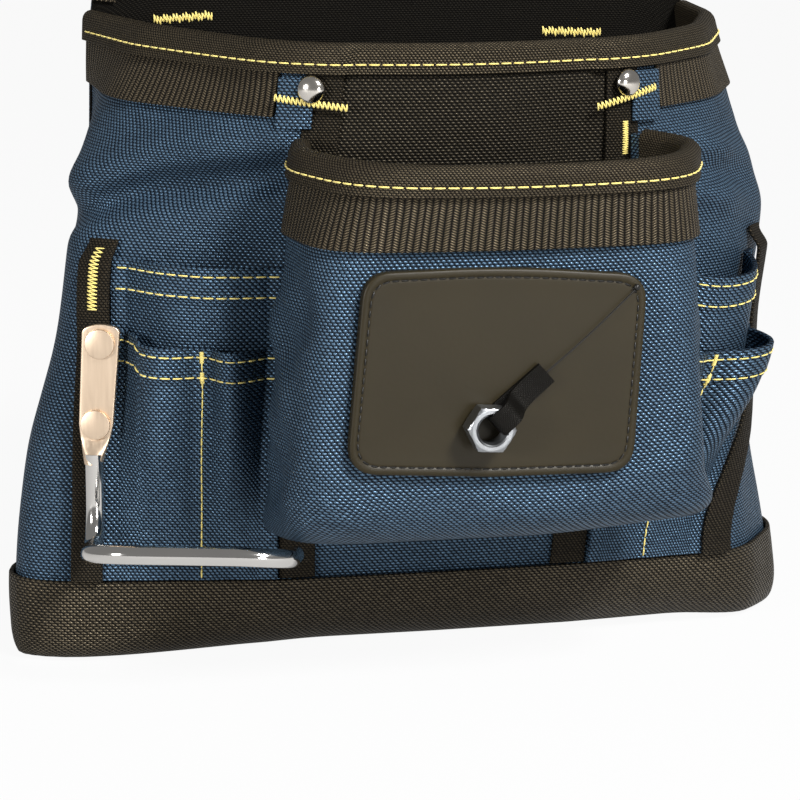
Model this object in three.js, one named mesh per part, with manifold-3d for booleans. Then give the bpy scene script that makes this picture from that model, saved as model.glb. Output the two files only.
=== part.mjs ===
import * as THREE from 'three';
import { mergeVertices } from 'three/addons/utils/BufferGeometryUtils.js';
import Module from 'manifold-3d';

// A riveted nylon tool pouch: a stiff back panel, a flared main pocket, a front pocket
// with a magnetic patch, tool sleeves on both sides and a steel hammer holder.
// Millimetres. X runs to the viewer's right, Y towards the wearer, Z up from the resting face.

// Driving sizes
const BACK_Y = 42;
const RIM_Z = 216;
const RIM_LIFT = 4.5;
const TOP_Z = 304;
const BACK_TOP_HALF = 101;
const BOOT_TOP = 29;
const PANEL_FOOT = 20;
const FABRIC = 1.6;
const THIN_FABRIC = 1.3;
const TAPE = 1.5;
const BIND = 1.2;
const BIND_DROP = 10;
const LAYER_GAP = 0.4;
const BOOT_GAP = 0.8;
const POCKET_GAP = 0.6;
const SLEEVE_GAP = 0.7;
const STRAP_WIDTH = 12.5;
const OUTER_STRAP_WIDTH = 10.8;
const BAND_DROP = 25;
const BELT_LOOP_WIDTH = 25;
const BELT_GAP = 9;
const BELT_LOOP_X = 73;
const ROD_RADIUS = 3.175;
const PLATE_THICKNESS = 2.4;
const PATCH_Y = -121.5;
const PATCH = {
  x: -2.8, z: 113.9, width: 96, height: 65.4, taper: 0.8, lean: 2.7, corner: 10, turn: 2.2,
  arch: 2.4, sag: 1.2, bow: 400, thick: 3.2, border: 3.5, raise: 0.8,
};
const NUT = { x: -7.4, z: 97.4, flats: 14.3, hole: 9.5, thick: 8, lift: 1.6, chamfer: 1.1, lead: 0.9 };
const ANCHOR = { x: 42.8, z: 141, radius: 1.6, height: 1.6 };
const DOME_RIVET = { radius: 4.7, height: 2.6, z: 201.5, shares: [-0.292, 0.306], tailGap: 0.8 };
const FLAT_RIVET = { radius: 5.1, height: 1.4, heights: [114, 86], tailGap: 1.2 };
const SHANK_RADIUS = 1.6;
const TAIL_HEIGHT = 1.2;
const SEAT_GAP = 0.3;
const BORE_LENGTH = 40;
const HAMMER_TURN = -18;
const HAMMER_STRAP_TOP = 148;
const SIDE_STRAP_TOP = 145;
const STRAP_STEP = 5;
const PLATE = {
  z: 100, aside: 2.6, head: 6.5, waist: 5.9, neck: 3.7, top: 20.5, shoulder: 17.5, hip: -14, foot: -26,
};
const BELT_LOOP_LOW = 204;
const BELT_LOOP_DROP = 11;
const BELT_SEWN = 8.4;
const BELT_RISE = 7.6;
const BACK_CORNER = { drop: 26, run: 24 };
const BACK_BIND_DROP = 9;
const BACK_BIND_START = 4;
const TAB = { width: 12, aside: 9, foot: 6, top: 1.2 };
const LEFT_SLEEVES = { upper: [142, 141], lower: [115, 113], dips: [0, 0], gape: 9, bulge: 8, divide: 0.57 };
const RIGHT_SLEEVES = { upper: [138, 137], lower: [111, 110], dips: [5, 4], gape: 14, bulge: 9, divide: 0.48 };
const BULGE_START = 38;
const UPPER_RISE = 92;
const LOWER_RISE = 58;
const BOOT_FLOOR = 2;
const BOTTOM_TIGHT = 9;
const BOTTOM_WIDE = 34;
const BOTTOM_RIGHT = 14;
const MIDDLE_JOIN = 118;
const LINE_LOW = 33;
const LINE_HIGH = 200;
const MAGNET = { inset: 7, thick: 1.4 };
const RIBBON = { width: 6.6, thick: 0.8, gap: 0.35, tail: 26 };
const THREAD_RADIUS = 0.35;
const POCKET_FOOT = 54;
const FOOT_LIFT = 4.5;
const POCKET_RIM = 182;
const POCKET_LIFT = 3.5;
const POCKET_MIDDLE = 5;
const POCKET_FLAT_TOP = 152;
const POCKET_BAND_DROP = 28;
const TAPE_END = 0.955;
const SIDE_END = 0.992;
const SEAM = 0.006;
const SEAM_MARGIN = 0.1;
const FINE_STEP = 1 / 50;
const COARSE_STEP = 1 / 24;
const RIM_COLUMNS = 29;

// The hammer holder's rod in its plate's frame, from the plate's foot: right, up and out
const ROD_START = [0, -24, 0];
const ROD_STEM = [0, -37.65, 0];
const ROD_HEEL = [0, -58, 0];
const ROD_TOE = [0.6, -55.6, 14];
const ROD_ARM = [3.6, -52, 30];
const ROD_CORNERS = [[5.5, -48.4, 45], [71.5, -48.6, 45]];
const ROD_BAR = [[20, -48.2, 46], [56, -48, 46]];
const ROD_END = [[71.5, -52, 31], [71.5, -53.2, 19]];

// Plan of the main pocket: corners from the left back edge round the front to the right back edge
const BODY_HEIGHTS = [0, 28, 70, 110, 150, 172, 216, 240];
const BODY_CORNERS = [
  [[-124, 42], [-157, -24], [-58, -42], [0, -43], [50, -42], [112, -36], [140, 4], [134, 42]],
  [[-124, 42], [-158, -23], [-58, -42], [0, -43], [50, -42], [110, -36], [136, 4], [131, 42]],
  [[-120, 42], [-152, -22], [-58, -49], [0, -51], [54, -49], [106, -38], [127, 2], [123, 42]],
  [[-117, 42], [-137, -20], [-58, -56], [0, -58], [57, -56], [104, -40], [125, 0], [120, 42]],
  [[-114, 42], [-129, -17], [-58, -61], [0, -65], [59, -60], [104, -40], [132, 0], [120, 42]],
  [[-112, 42], [-122, -8], [-58, -63], [0, -69], [60, -62], [100, -38], [127, 4], [118, 42]],
  [[-111, 42], [-97, 2], [-58, -64], [2, -75], [62, -62], [93, -30], [110, 10], [111, 42]],
  [[-110, 42], [-97, 2], [-58, -64], [2, -75], [62, -62], [93, -30], [110, 10], [111, 42]],
];
const BODY_RADII = [
  [24, 60, 200, 70, 34, 40],
  [24, 60, 200, 70, 34, 40],
  [24, 60, 200, 70, 36, 40],
  [24, 60, 200, 70, 36, 40],
  [24, 60, 160, 70, 40, 40],
  [28, 60, 140, 60, 44, 44],
  [50, 50, 130, 50, 50, 36],
  [50, 50, 130, 50, 50, 36],
];

// Plan of the front pocket between its two seams on the straps
const POCKET_HEIGHTS = [52, 64, 78, 120, 152, 186];
const POCKET_CORNERS = [
  [[-71, -70], [-63, -94], [5, -95], [77.5, -94], [85.5, -70]],
  [[-72, -73], [-66, -109], [5, -110], [76, -109], [82, -73]],
  [[-71.5, -75], [-67.5, -121], [5, -122], [71.5, -121], [75.5, -75]],
  [[-67.5, -78], [-63.5, -122], [5, -122], [68, -122], [72, -78]],
  [[-65.5, -82], [-59.5, -122], [5, -122], [66.5, -122], [72.5, -82]],
  [[-60.5, -88], [-39.5, -126], [5, -132], [55.5, -125], [74.5, -87]],
];
const POCKET_RADII = [
  [24, 26, 200, 26, 24],
  [24, 26, 200, 26, 24],
  [24, 16, 300, 16, 24],
  [24, 16, 300, 16, 24],
  [26, 22, 300, 22, 26],
  [34, 60, 140, 60, 34],
];

const wasm = await Module();
wasm.setup();

const smooth = (t) => {
  const k = Math.min(Math.max(t, 0), 1);
  return k * k * (3 - 2 * k);
};
const mix = (a, b, t) => a + (b - a) * t;

// Cubic through the control heights with averaged slopes
function spline(heights, valueAt, z) {
  const last = heights.length - 1;
  const at = Math.min(Math.max(z, heights[0]), heights[last]);
  let i = 0;
  while (i < last - 1 && at > heights[i + 1]) i += 1;
  const slope = (k) => {
    const a = Math.max(k - 1, 0);
    const b = Math.min(k + 1, last);
    return (valueAt(b) - valueAt(a)) / (heights[b] - heights[a]);
  };
  const span = heights[i + 1] - heights[i];
  const t = (at - heights[i]) / span;
  const keep = (1 + 2 * t) * (1 - t) * (1 - t);
  return keep * valueAt(i) + (1 - keep) * valueAt(i + 1)
    + span * t * (1 - t) * ((1 - t) * slope(i) - t * slope(i + 1));
}

// Polyline whose inner corners are rounded off by short parabolas
function rounded(points, radii) {
  const out = [points[0]];
  for (let i = 1; i < points.length - 1; i += 1) {
    const corner = points[i];
    const back = points[i - 1].clone().sub(corner);
    const ahead = points[i + 1].clone().sub(corner);
    const half = back.angleTo(ahead) / 2;
    const reach = Math.min(radii[i - 1] / Math.tan(half), 0.48 * back.length(), 0.48 * ahead.length());
    const from = corner.clone().add(back.setLength(reach));
    const to = corner.clone().add(ahead.setLength(reach));
    for (let k = 0; k <= 8; k += 1) {
      const t = k / 8;
      out.push(new THREE.Vector2(
        (1 - t) * (1 - t) * from.x + 2 * t * (1 - t) * corner.x + t * t * to.x,
        (1 - t) * (1 - t) * from.y + 2 * t * (1 - t) * corner.y + t * t * to.y,
      ));
    }
  }
  out.push(points[points.length - 1]);
  return out;
}

// A plan line measured from its middle: share -1 is the left end, 0 the middle, 1 the right end
class PlanLine {
  constructor(points, middleX) {
    this.points = points;
    this.along = [0];
    for (let i = 1; i < points.length; i += 1) {
      this.along.push(this.along[i - 1] + points[i].distanceTo(points[i - 1]));
    }
    this.length = this.along[this.along.length - 1];
    this.left = this.length / 2;
    for (let i = 1; i < points.length; i += 1) {
      if (points[i - 1].x < middleX && points[i].x >= middleX && points[i].y < BACK_Y - 1) {
        const t = (middleX - points[i - 1].x) / (points[i].x - points[i - 1].x);
        this.left = mix(this.along[i - 1], this.along[i], t);
        break;
      }
    }
    this.right = this.length - this.left;
  }

  atDistance(distance) {
    const d = Math.min(Math.max(distance, 0), this.length);
    let i = 1;
    while (i < this.points.length - 1 && this.along[i] < d) i += 1;
    const t = (d - this.along[i - 1]) / Math.max(this.along[i] - this.along[i - 1], 1e-9);
    return this.points[i - 1].clone().lerp(this.points[i], t);
  }

  at(share) {
    const d = this.left + share * (share < 0 ? this.left : this.right);
    const point = this.atDistance(d);
    const step = this.atDistance(d + 1.5).sub(this.atDistance(d - 1.5)).normalize();
    return { point, normal: new THREE.Vector2(step.y, -step.x) };
  }

  shareOf(width, share) {
    return width / (share < 0 ? this.left : this.right);
  }
}

const bodyLines = new Map();
function bodyLine(z) {
  const key = z.toFixed(3);
  if (!bodyLines.has(key)) {
    const corners = BODY_CORNERS[0].map((_, i) => new THREE.Vector2(
      spline(BODY_HEIGHTS, (k) => BODY_CORNERS[k][i][0], z),
      spline(BODY_HEIGHTS, (k) => BODY_CORNERS[k][i][1], z),
    ));
    const radii = BODY_RADII[0].map((_, i) => spline(BODY_HEIGHTS, (k) => BODY_RADII[k][i], z));
    bodyLines.set(key, new PlanLine(rounded(corners, radii), 0));
  }
  return bodyLines.get(key);
}

// The bottom edge turns under: tight at the boxed left corner, wide along the front, tighter at the right
const bottomRadius = (share) => mix(
  mix(BOTTOM_TIGHT, BOTTOM_WIDE, smooth((share + 0.62) / 0.45)),
  BOTTOM_RIGHT,
  smooth((share - 0.45) / 0.3),
);

// Point on the main pocket at a share of its outline, a height and a distance out from its face
function wall(share, z, out) {
  const { point, normal } = bodyLine(z).at(share);
  const radius = bottomRadius(share);
  const drop = Math.max(radius - z, 0);
  const inset = radius - Math.sqrt(Math.max(radius * radius - drop * drop, 0));
  return new THREE.Vector3(
    point.x + normal.x * (out - 0.3 * inset),
    point.y + normal.y * (out - inset),
    z,
  );
}
const rimHeight = (share) => RIM_Z + RIM_LIFT * share * share;

// Strap centre lines, panel seams and the front pocket's seams as shares of the outline
const lineBetween = (low, high) => (z) => mix(low, high, (z - LINE_LOW) / (LINE_HIGH - LINE_LOW));
const seamStrapLeft = lineBetween(-0.248, -0.271);
const seamStrapRight = lineBetween(0.228, 0.305);
const panelSeamLeft = lineBetween(-0.25, -0.268);
const panelSeamRight = lineBetween(0.225, 0.289);
const pocketSeamLeft = lineBetween(-0.269, -0.302);
const pocketSeamRight = lineBetween(0.25, 0.325);
const hammerLine = (z) => mix(-0.583, -0.636, smooth((z - 50) / 95));
const rightStrapLine = (z) => mix(0.515, 0.67, smooth((z - LINE_LOW) / 75));
const beside = (centre, distance) => (z) => centre(z) + bodyLine(z).shareOf(distance, centre(z));
const plateLine = beside(hammerLine, PLATE.aside);

const pocketLines = new Map();
function pocketLine(z) {
  const key = z.toFixed(3);
  if (!pocketLines.has(key)) {
    const reach = TAPE + LAYER_GAP + POCKET_GAP;
    const start = wall(pocketSeamLeft(z), z, reach);
    const end = wall(pocketSeamRight(z), z, reach);
    const corners = POCKET_CORNERS[0].map((_, i) => new THREE.Vector2(
      spline(POCKET_HEIGHTS, (k) => POCKET_CORNERS[k][i][0], z),
      spline(POCKET_HEIGHTS, (k) => POCKET_CORNERS[k][i][1], z),
    ));
    const radii = POCKET_RADII[0].map((_, i) => spline(POCKET_HEIGHTS, (k) => POCKET_RADII[k][i], z));
    const ends = [new THREE.Vector2(start.x, start.y), ...corners, new THREE.Vector2(end.x, end.y)];
    const line = rounded(ends, radii);
    if (z <= POCKET_FLAT_TOP) {
      line.forEach((p) => p.setY(Math.max(p.y, PATCH_Y)));
    }
    pocketLines.set(key, new PlanLine(line, POCKET_MIDDLE));
  }
  return pocketLines.get(key);
}
function pocket(share, z, out) {
  const { point, normal } = pocketLine(z).at(share);
  return new THREE.Vector3(point.x + normal.x * out, point.y + normal.y * out, z);
}
const pocketRim = (share) => POCKET_RIM + POCKET_LIFT * share * share;
const pocketFoot = (share) => POCKET_FOOT + FOOT_LIFT * smooth((share - 0.05) / 0.6);

// Column positions: close together on the two outer corners, wider elsewhere
const shareGrid = [-1];
while (shareGrid[shareGrid.length - 1] < 1 - 1e-6) {
  const share = shareGrid[shareGrid.length - 1];
  const size = Math.abs(share + 0.01);
  const step = size > 0.47 && size < 0.87 ? FINE_STEP : COARSE_STEP;
  shareGrid.push(Math.min(1, share + step));
}
const columnsBetween = (a, b) => [a, ...shareGrid.filter((s) => s > a + 0.007 && s < b - 0.007), b];
const even = (count) => Array.from({ length: count + 1 }, (_, i) => i / count);
// The rim is rounder than the foot, so the pieces along it need fewer columns
const rimColumns = (a, b) => even(Math.round((b - a) * RIM_COLUMNS)).map((t) => mix(a, b, t));

const part = new THREE.Group();
part.name = 'tool_pouch';
// Colour, roughness and metalness of each material
const looks = {
  blue_nylon: [0x2f4a73, 0.75, 0],
  black_nylon: [0x1f1c19, 0.7, 0],
  black_webbing: [0x25211d, 0.8, 0],
  binding_tape: [0x2a2622, 0.85, 0],
  patch_rubber: [0x24231f, 0.6, 0],
  magnet_sheet: [0x3a3533, 0.7, 0],
  satin_steel: [0xb9a894, 0.35, 1],
  rivet_steel: [0xc9c2b8, 0.2, 1],
  zinc_nut: [0xb8bbbe, 0.25, 1],
  ribbon: [0x1a1816, 0.5, 0],
  thread: [0x4a443c, 0.6, 0],
};
const materials = {};
for (const [name, [color, roughness, metalness]] of Object.entries(looks)) {
  materials[name] = new THREE.MeshStandardMaterial({ name, color, roughness, metalness });
}
function addMesh(name, geometry, look) {
  const mesh = new THREE.Mesh(geometry, materials[look]);
  mesh.name = name;
  part.add(mesh);
  return mesh;
}

function geometryFrom(points, triangles) {
  const geometry = new THREE.BufferGeometry();
  const flat = points.flatMap((p) => [p.x, p.y, p.z]);
  geometry.setAttribute('position', new THREE.Float32BufferAttribute(flat, 3));
  geometry.setIndex(triangles);
  return geometry;
}

// Closed sheet between an outer and an inner face laid out on columns and rows
function slab(columns, rows, place) {
  const points = [];
  for (const side of [1, 0]) {
    for (const c of columns) {
      for (const r of rows) points.push(place(c, r, side));
    }
  }
  const nc = columns.length;
  const nr = rows.length;
  const id = (side, i, j) => (side ? 0 : nc * nr) + i * nr + j;
  const triangles = [];
  const quad = (a, b, c, d) => triangles.push(a, b, c, a, c, d);
  for (let i = 0; i + 1 < nc; i += 1) {
    for (let j = 0; j + 1 < nr; j += 1) {
      quad(id(1, i, j), id(1, i + 1, j), id(1, i + 1, j + 1), id(1, i, j + 1));
      quad(id(0, i, j + 1), id(0, i + 1, j + 1), id(0, i + 1, j), id(0, i, j));
    }
    quad(id(0, i, 0), id(0, i + 1, 0), id(1, i + 1, 0), id(1, i, 0));
    quad(id(1, i, nr - 1), id(1, i + 1, nr - 1), id(0, i + 1, nr - 1), id(0, i, nr - 1));
  }
  for (let j = 0; j + 1 < nr; j += 1) {
    quad(id(1, 0, j), id(1, 0, j + 1), id(0, 0, j + 1), id(0, 0, j));
    quad(id(0, nc - 1, j), id(0, nc - 1, j + 1), id(1, nc - 1, j + 1), id(1, nc - 1, j));
  }
  return geometryFrom(points, triangles);
}

// Closed body through matching loops, its two ends filled in the given flat view
function loft(loops, flatView) {
  const count = loops[0].length;
  const points = loops.flat();
  const triangles = [];
  for (let k = 0; k + 1 < loops.length; k += 1) {
    for (let i = 0; i < count; i += 1) {
      const next = (i + 1) % count;
      const a = k * count + i;
      const b = k * count + next;
      triangles.push(a, b, b + count, a, b + count, a + count);
    }
  }
  const first = loops[0].map((p, i) => flatView(p, 0, i));
  const last = loops[loops.length - 1].map((p, i) => flatView(p, loops.length - 1, i));
  const turn = Math.sign(THREE.ShapeUtils.area(first));
  const base = (loops.length - 1) * count;
  for (const [a, b, c] of THREE.ShapeUtils.triangulateShape(first, [])) {
    triangles.push(...(turn > 0 ? [a, c, b] : [a, b, c]));
  }
  for (const [a, b, c] of THREE.ShapeUtils.triangulateShape(last, [])) {
    triangles.push(...(turn > 0 ? [base + a, base + b, base + c] : [base + a, base + c, base + b]));
  }
  let volume = 0;
  for (let i = 0; i < triangles.length; i += 3) {
    const [a, b, c] = triangles.slice(i, i + 3).map((k) => points[k]);
    volume += a.dot(b.clone().cross(c));
  }
  if (volume < 0) triangles.reverse();
  return geometryFrom(points, triangles);
}

// Cutting and joining
function toSolid(geometry) {
  const bare = geometry.clone();
  for (const name of Object.keys(bare.attributes)) {
    if (name !== 'position') bare.deleteAttribute(name);
  }
  const merged = mergeVertices(bare, 1e-4);
  return new wasm.Manifold(new wasm.Mesh({
    numProp: 3,
    vertProperties: new Float32Array(merged.attributes.position.array),
    triVerts: new Uint32Array(merged.index.array),
  }));
}
function toGeometry(solid) {
  const mesh = solid.getMesh();
  const geometry = new THREE.BufferGeometry();
  geometry.setAttribute('position', new THREE.BufferAttribute(new Float32Array(mesh.vertProperties), 3));
  geometry.setIndex(Array.from(mesh.triVerts));
  return geometry;
}
const cutAway = (geometry, cutters) => toGeometry(
  cutters.reduce((solid, cutter) => solid.subtract(toSolid(cutter)), toSolid(geometry)),
);

// Frame on the main pocket's face: outward axis, up axis and the axis to the right
function faceFrame(share, z, out, turnDegrees) {
  const origin = wall(share, z, out);
  const { normal } = bodyLine(z).at(share);
  const axis = turnDegrees === undefined
    ? new THREE.Vector3(normal.x, normal.y, 0)
    : new THREE.Vector3(Math.sin(turnDegrees * Math.PI / 180), -Math.cos(turnDegrees * Math.PI / 180), 0);
  const up = new THREE.Vector3(0, 0, 1);
  const right = up.clone().cross(axis);
  return new THREE.Matrix4().makeBasis(right, up, axis).setPosition(origin);
}

// Back panel: dark lining towards the wearer's tools, blue face towards the belt
const BACK_LEVELS = [PANEL_FOOT, 24, 30, 50, 70, 90, 110, 130, 150, 172, 195, RIM_Z, 250];
const backHalf = (z, side) => {
  const pouchHalf = Math.abs(wall(side, Math.min(z, RIM_Z), 0).x);
  return mix(pouchHalf, BACK_TOP_HALF, Math.max(z - RIM_Z, 0) / (TOP_Z - RIM_Z));
};
function backOutline() {
  const shoulder = TOP_Z - BACK_CORNER.drop;
  const levels = [...BACK_LEVELS.filter((z) => z < shoulder), shoulder];
  const shape = new THREE.Shape();
  shape.moveTo(backHalf(levels[0], 1), levels[0]);
  levels.slice(1).forEach((z) => shape.lineTo(backHalf(z, 1), z));
  shape.quadraticCurveTo(BACK_TOP_HALF, TOP_Z, BACK_TOP_HALF - BACK_CORNER.run, TOP_Z);
  shape.lineTo(BACK_CORNER.run - BACK_TOP_HALF, TOP_Z);
  shape.quadraticCurveTo(-BACK_TOP_HALF, TOP_Z, -backHalf(shoulder, -1), shoulder);
  levels.slice(0, -1).reverse().forEach((z) => shape.lineTo(-backHalf(z, -1), z));
  return shape;
}
// Extruded flat piece standing in the XZ plane, from its front face y towards the wearer
function uprightPlate(shape, thickness, y, segments) {
  const geometry = new THREE.ExtrudeGeometry(shape, {
    depth: thickness, bevelEnabled: false, curveSegments: segments,
  });
  geometry.rotateX(Math.PI / 2);
  geometry.translate(0, y + thickness, 0);
  return geometry;
}
const LINING_Y = BACK_Y + LAYER_GAP;
const OUTER_Y = LINING_Y + FABRIC + LAYER_GAP;
const BACK_FACE = OUTER_Y + FABRIC;
addMesh('back_lining', uprightPlate(backOutline(), FABRIC, LINING_Y, 6), 'black_nylon');
addMesh('back_outer', uprightPlate(backOutline(), FABRIC, OUTER_Y, 6), 'blue_nylon');

// Folded tape over the back panel's free edge above the main pocket
{
  const start = RIM_Z + RIM_LIFT + BACK_BIND_START;
  const outline = backOutline().getPoints(6).filter((p) => p.y >= RIM_Z - 1);
  const line = outline.filter((p) => p.y > start);
  line.unshift(new THREE.Vector2(backHalf(start, 1), start));
  line.push(new THREE.Vector2(-backHalf(start, -1), start));
  const front = LINING_Y - LAYER_GAP;
  const rear = BACK_FACE + LAYER_GAP;
  const profile = [
    [-BACK_BIND_DROP, front - BIND], [LAYER_GAP + BIND, front - BIND],
    [LAYER_GAP + BIND, rear + BIND], [-BACK_BIND_DROP, rear + BIND],
    [-BACK_BIND_DROP, rear], [LAYER_GAP, rear], [LAYER_GAP, front], [-BACK_BIND_DROP, front],
  ];
  const loops = line.map((p, i) => {
    const before = line[Math.max(i - 1, 0)];
    const after = line[Math.min(i + 1, line.length - 1)];
    const along = after.clone().sub(before).normalize();
    const out = new THREE.Vector2(along.y, -along.x);
    return profile.map(([o, y]) => new THREE.Vector3(p.x + out.x * o, y, p.y + out.y * o));
  });
  addMesh('back_binding', loft(loops, (p, k, i) => new THREE.Vector2(...profile[i])), 'binding_tape');
}

// Two belt loops of wide webbing on the wearer's side
{
  const near = BACK_FACE + LAYER_GAP;
  const far = near + BELT_GAP;
  const low = BELT_LOOP_LOW;
  const high = TOP_Z - BELT_LOOP_DROP;
  const bowed = BELT_SEWN + BELT_RISE;
  const inset = TAPE * 0.67;
  const outer = [
    [near, low], [near + TAPE, low], [near + TAPE, low + BELT_SEWN], [far + TAPE, low + bowed],
    [far + TAPE, high - bowed], [near + TAPE, high - BELT_SEWN], [near + TAPE, high], [near, high],
    [near, high - BELT_SEWN - inset], [far, high - bowed - inset], [far, low + bowed + inset],
    [near, low + BELT_SEWN + inset],
  ];
  const shape = new THREE.Shape(outer.map(([y, z]) => new THREE.Vector2(y, z)));
  for (const [name, x] of [['belt_loop_left', -BELT_LOOP_X], ['belt_loop_right', BELT_LOOP_X]]) {
    const geometry = new THREE.ExtrudeGeometry(shape, { depth: BELT_LOOP_WIDTH, bevelEnabled: false });
    geometry.applyMatrix4(new THREE.Matrix4().makeBasis(
      new THREE.Vector3(0, 1, 0), new THREE.Vector3(0, 0, 1), new THREE.Vector3(1, 0, 0),
    ));
    geometry.translate(x - BELT_LOOP_WIDTH / 2, 0, 0);
    addMesh(name, geometry, 'black_webbing');
  }
}

// Rivet through a stack of layers, turned about its own axis
function rivet(frame, head, headBase, domed) {
  const headRadius = head.radius;
  const headHeight = head.height;
  const tail = -FABRIC - head.tailGap;
  const tailRadius = headRadius * 0.8;
  const profile = [[0, tail - TAIL_HEIGHT], [tailRadius, tail - TAIL_HEIGHT], [tailRadius, tail],
    [SHANK_RADIUS, tail], [SHANK_RADIUS, headBase], [headRadius, headBase]];
  const steps = domed ? [0.25, 0.5, 0.72, 0.88] : [0.86];
  for (const t of steps) {
    const lift = domed ? Math.sin(t * Math.PI / 2) : 1;
    const r = domed ? Math.cos(t * Math.PI / 2) : 0.9;
    profile.push([headRadius * r, headBase + headHeight * lift]);
  }
  if (!domed) profile.splice(6, 0, [headRadius, headBase + headHeight * 0.6]);
  profile.push([0, headBase + headHeight]);
  const geometry = new THREE.LatheGeometry(profile.map(([r, h]) => new THREE.Vector2(r, h)), 14);
  geometry.rotateX(Math.PI / 2);
  return geometry.applyMatrix4(frame);
}
function bore(frame, radius) {
  const geometry = new THREE.CylinderGeometry(radius, radius, BORE_LENGTH, 14);
  geometry.rotateX(Math.PI / 2);
  return geometry.applyMatrix4(frame);
}
const domeFrames = DOME_RIVET.shares.map((share) => faceFrame(share, DOME_RIVET.z, 0));
const hammerFrames = FLAT_RIVET.heights.map((z) => faceFrame(plateLine(z), z, 0, HAMMER_TURN));
const SHANK_BORE = SHANK_RADIUS + SEAT_GAP;

// Main pocket: two blue side panels, and between them a dark middle panel over a blue lower one
const panelTop = (share) => rimHeight(share) - BIND - LAYER_GAP;
function panelColumns(from, to) {
  const a = from(100);
  const b = to(100);
  return columnsBetween(a, b).map((s) => (s - a) / (b - a));
}
function bodyPanel(from, to, low, high, cutters) {
  const rows = [0, 0.16, 0.32, 0.48, 0.62, 0.72, 0.8, 0.87, 0.93, 1];
  const sheet = slab(panelColumns(from, to), rows, (c, r, side) => {
    const z = mix(low, high(mix(from(100), to(100), c)), r);
    return wall(mix(from(z), to(z), c), z, side ? 0 : -FABRIC);
  });
  return cutters.length ? cutAway(sheet, cutters) : sheet;
}
addMesh('main_left_panel', bodyPanel(
  () => -SIDE_END,
  (z) => panelSeamLeft(z) - SEAM / 2,
  PANEL_FOOT,
  panelTop,
  [bore(domeFrames[0], SHANK_BORE), ...hammerFrames.map((f) => bore(f, SHANK_BORE))],
), 'blue_nylon');
addMesh('main_center_panel', bodyPanel(
  panelSeamLeft, panelSeamRight, MIDDLE_JOIN + LAYER_GAP, panelTop, [],
), 'black_nylon');
addMesh('main_lower_panel', bodyPanel(
  panelSeamLeft, panelSeamRight, PANEL_FOOT, () => MIDDLE_JOIN, [],
), 'blue_nylon');
addMesh('main_right_panel', bodyPanel(
  (z) => panelSeamRight(z) + SEAM / 2,
  () => SIDE_END,
  PANEL_FOOT,
  panelTop,
  [bore(domeFrames[1], SHANK_BORE)],
), 'blue_nylon');

// Webbing straps sewn upright over the seams
function strap(centre, width, low, high, out, columns, rows) {
  return slab(even(columns), even(rows), (c, r, side) => {
    const z = mix(low, high(centre(low)), r);
    const share = centre(z) + bodyLine(z).shareOf(width, centre(z)) * (c - 0.5);
    const base = out(z);
    return wall(share, z, side ? base + TAPE : base);
  });
}
const STRAP_FOOT = BOOT_TOP + LAYER_GAP;
const onPanel = () => LAYER_GAP;
const strapTop = (share) => rimHeight(share) - BIND - 2 * LAYER_GAP;
addMesh('seam_strap_left', cutAway(
  strap(seamStrapLeft, STRAP_WIDTH, STRAP_FOOT, strapTop, onPanel, 4, 10),
  [bore(domeFrames[0], SHANK_BORE)],
), 'black_webbing');
addMesh('seam_strap_right', cutAway(
  strap(seamStrapRight, STRAP_WIDTH, STRAP_FOOT, strapTop, onPanel, 4, 10),
  [bore(domeFrames[1], SHANK_BORE)],
), 'black_webbing');

// Blue tabs that carry the front pocket's side edges up to the rim
function tab(centre, shift) {
  return slab(even(2), even(3), (c, r, side) => {
    const z = mix(POCKET_RIM + TAB.foot, rimHeight(centre(RIM_Z)) - BIND_DROP - TAB.top, r);
    const share = centre(z) + bodyLine(z).shareOf(shift + TAB.width * (c - 0.5), centre(z));
    const base = 2 * LAYER_GAP + TAPE;
    return wall(share, z, side ? base + THIN_FABRIC : base);
  });
}
addMesh('pocket_tab_left', cutAway(
  tab(seamStrapLeft, -TAB.aside),
  [bore(domeFrames[0], SHANK_BORE)],
), 'blue_nylon');
addMesh('pocket_tab_right', tab(seamStrapRight, TAB.aside), 'blue_nylon');

// Ribbed webbing under the rim on both sides, ending at the tabs
function rimBand(from, to) {
  return slab(rimColumns(from, to), even(2), (c, r, side) => {
    const top = rimHeight(c) - BIND - 2 * LAYER_GAP;
    const z = mix(rimHeight(c) - BAND_DROP, top, r);
    return wall(c, z, LAYER_GAP + (side ? TAPE : 0));
  });
}
const TAB_EDGE = TAB.aside + TAB.width / 2 + LAYER_GAP;
const edgeOfTab = (centre, side) => {
  const shares = [RIM_Z - BAND_DROP, RIM_Z].map(beside(centre, side * TAB_EDGE));
  return side < 0 ? Math.min(...shares) : Math.max(...shares);
};
addMesh('rim_webbing_left', rimBand(-SIDE_END, edgeOfTab(seamStrapLeft, -1)), 'black_webbing');
addMesh('rim_webbing_right', rimBand(edgeOfTab(seamStrapRight, 1), SIDE_END), 'black_webbing');

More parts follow.
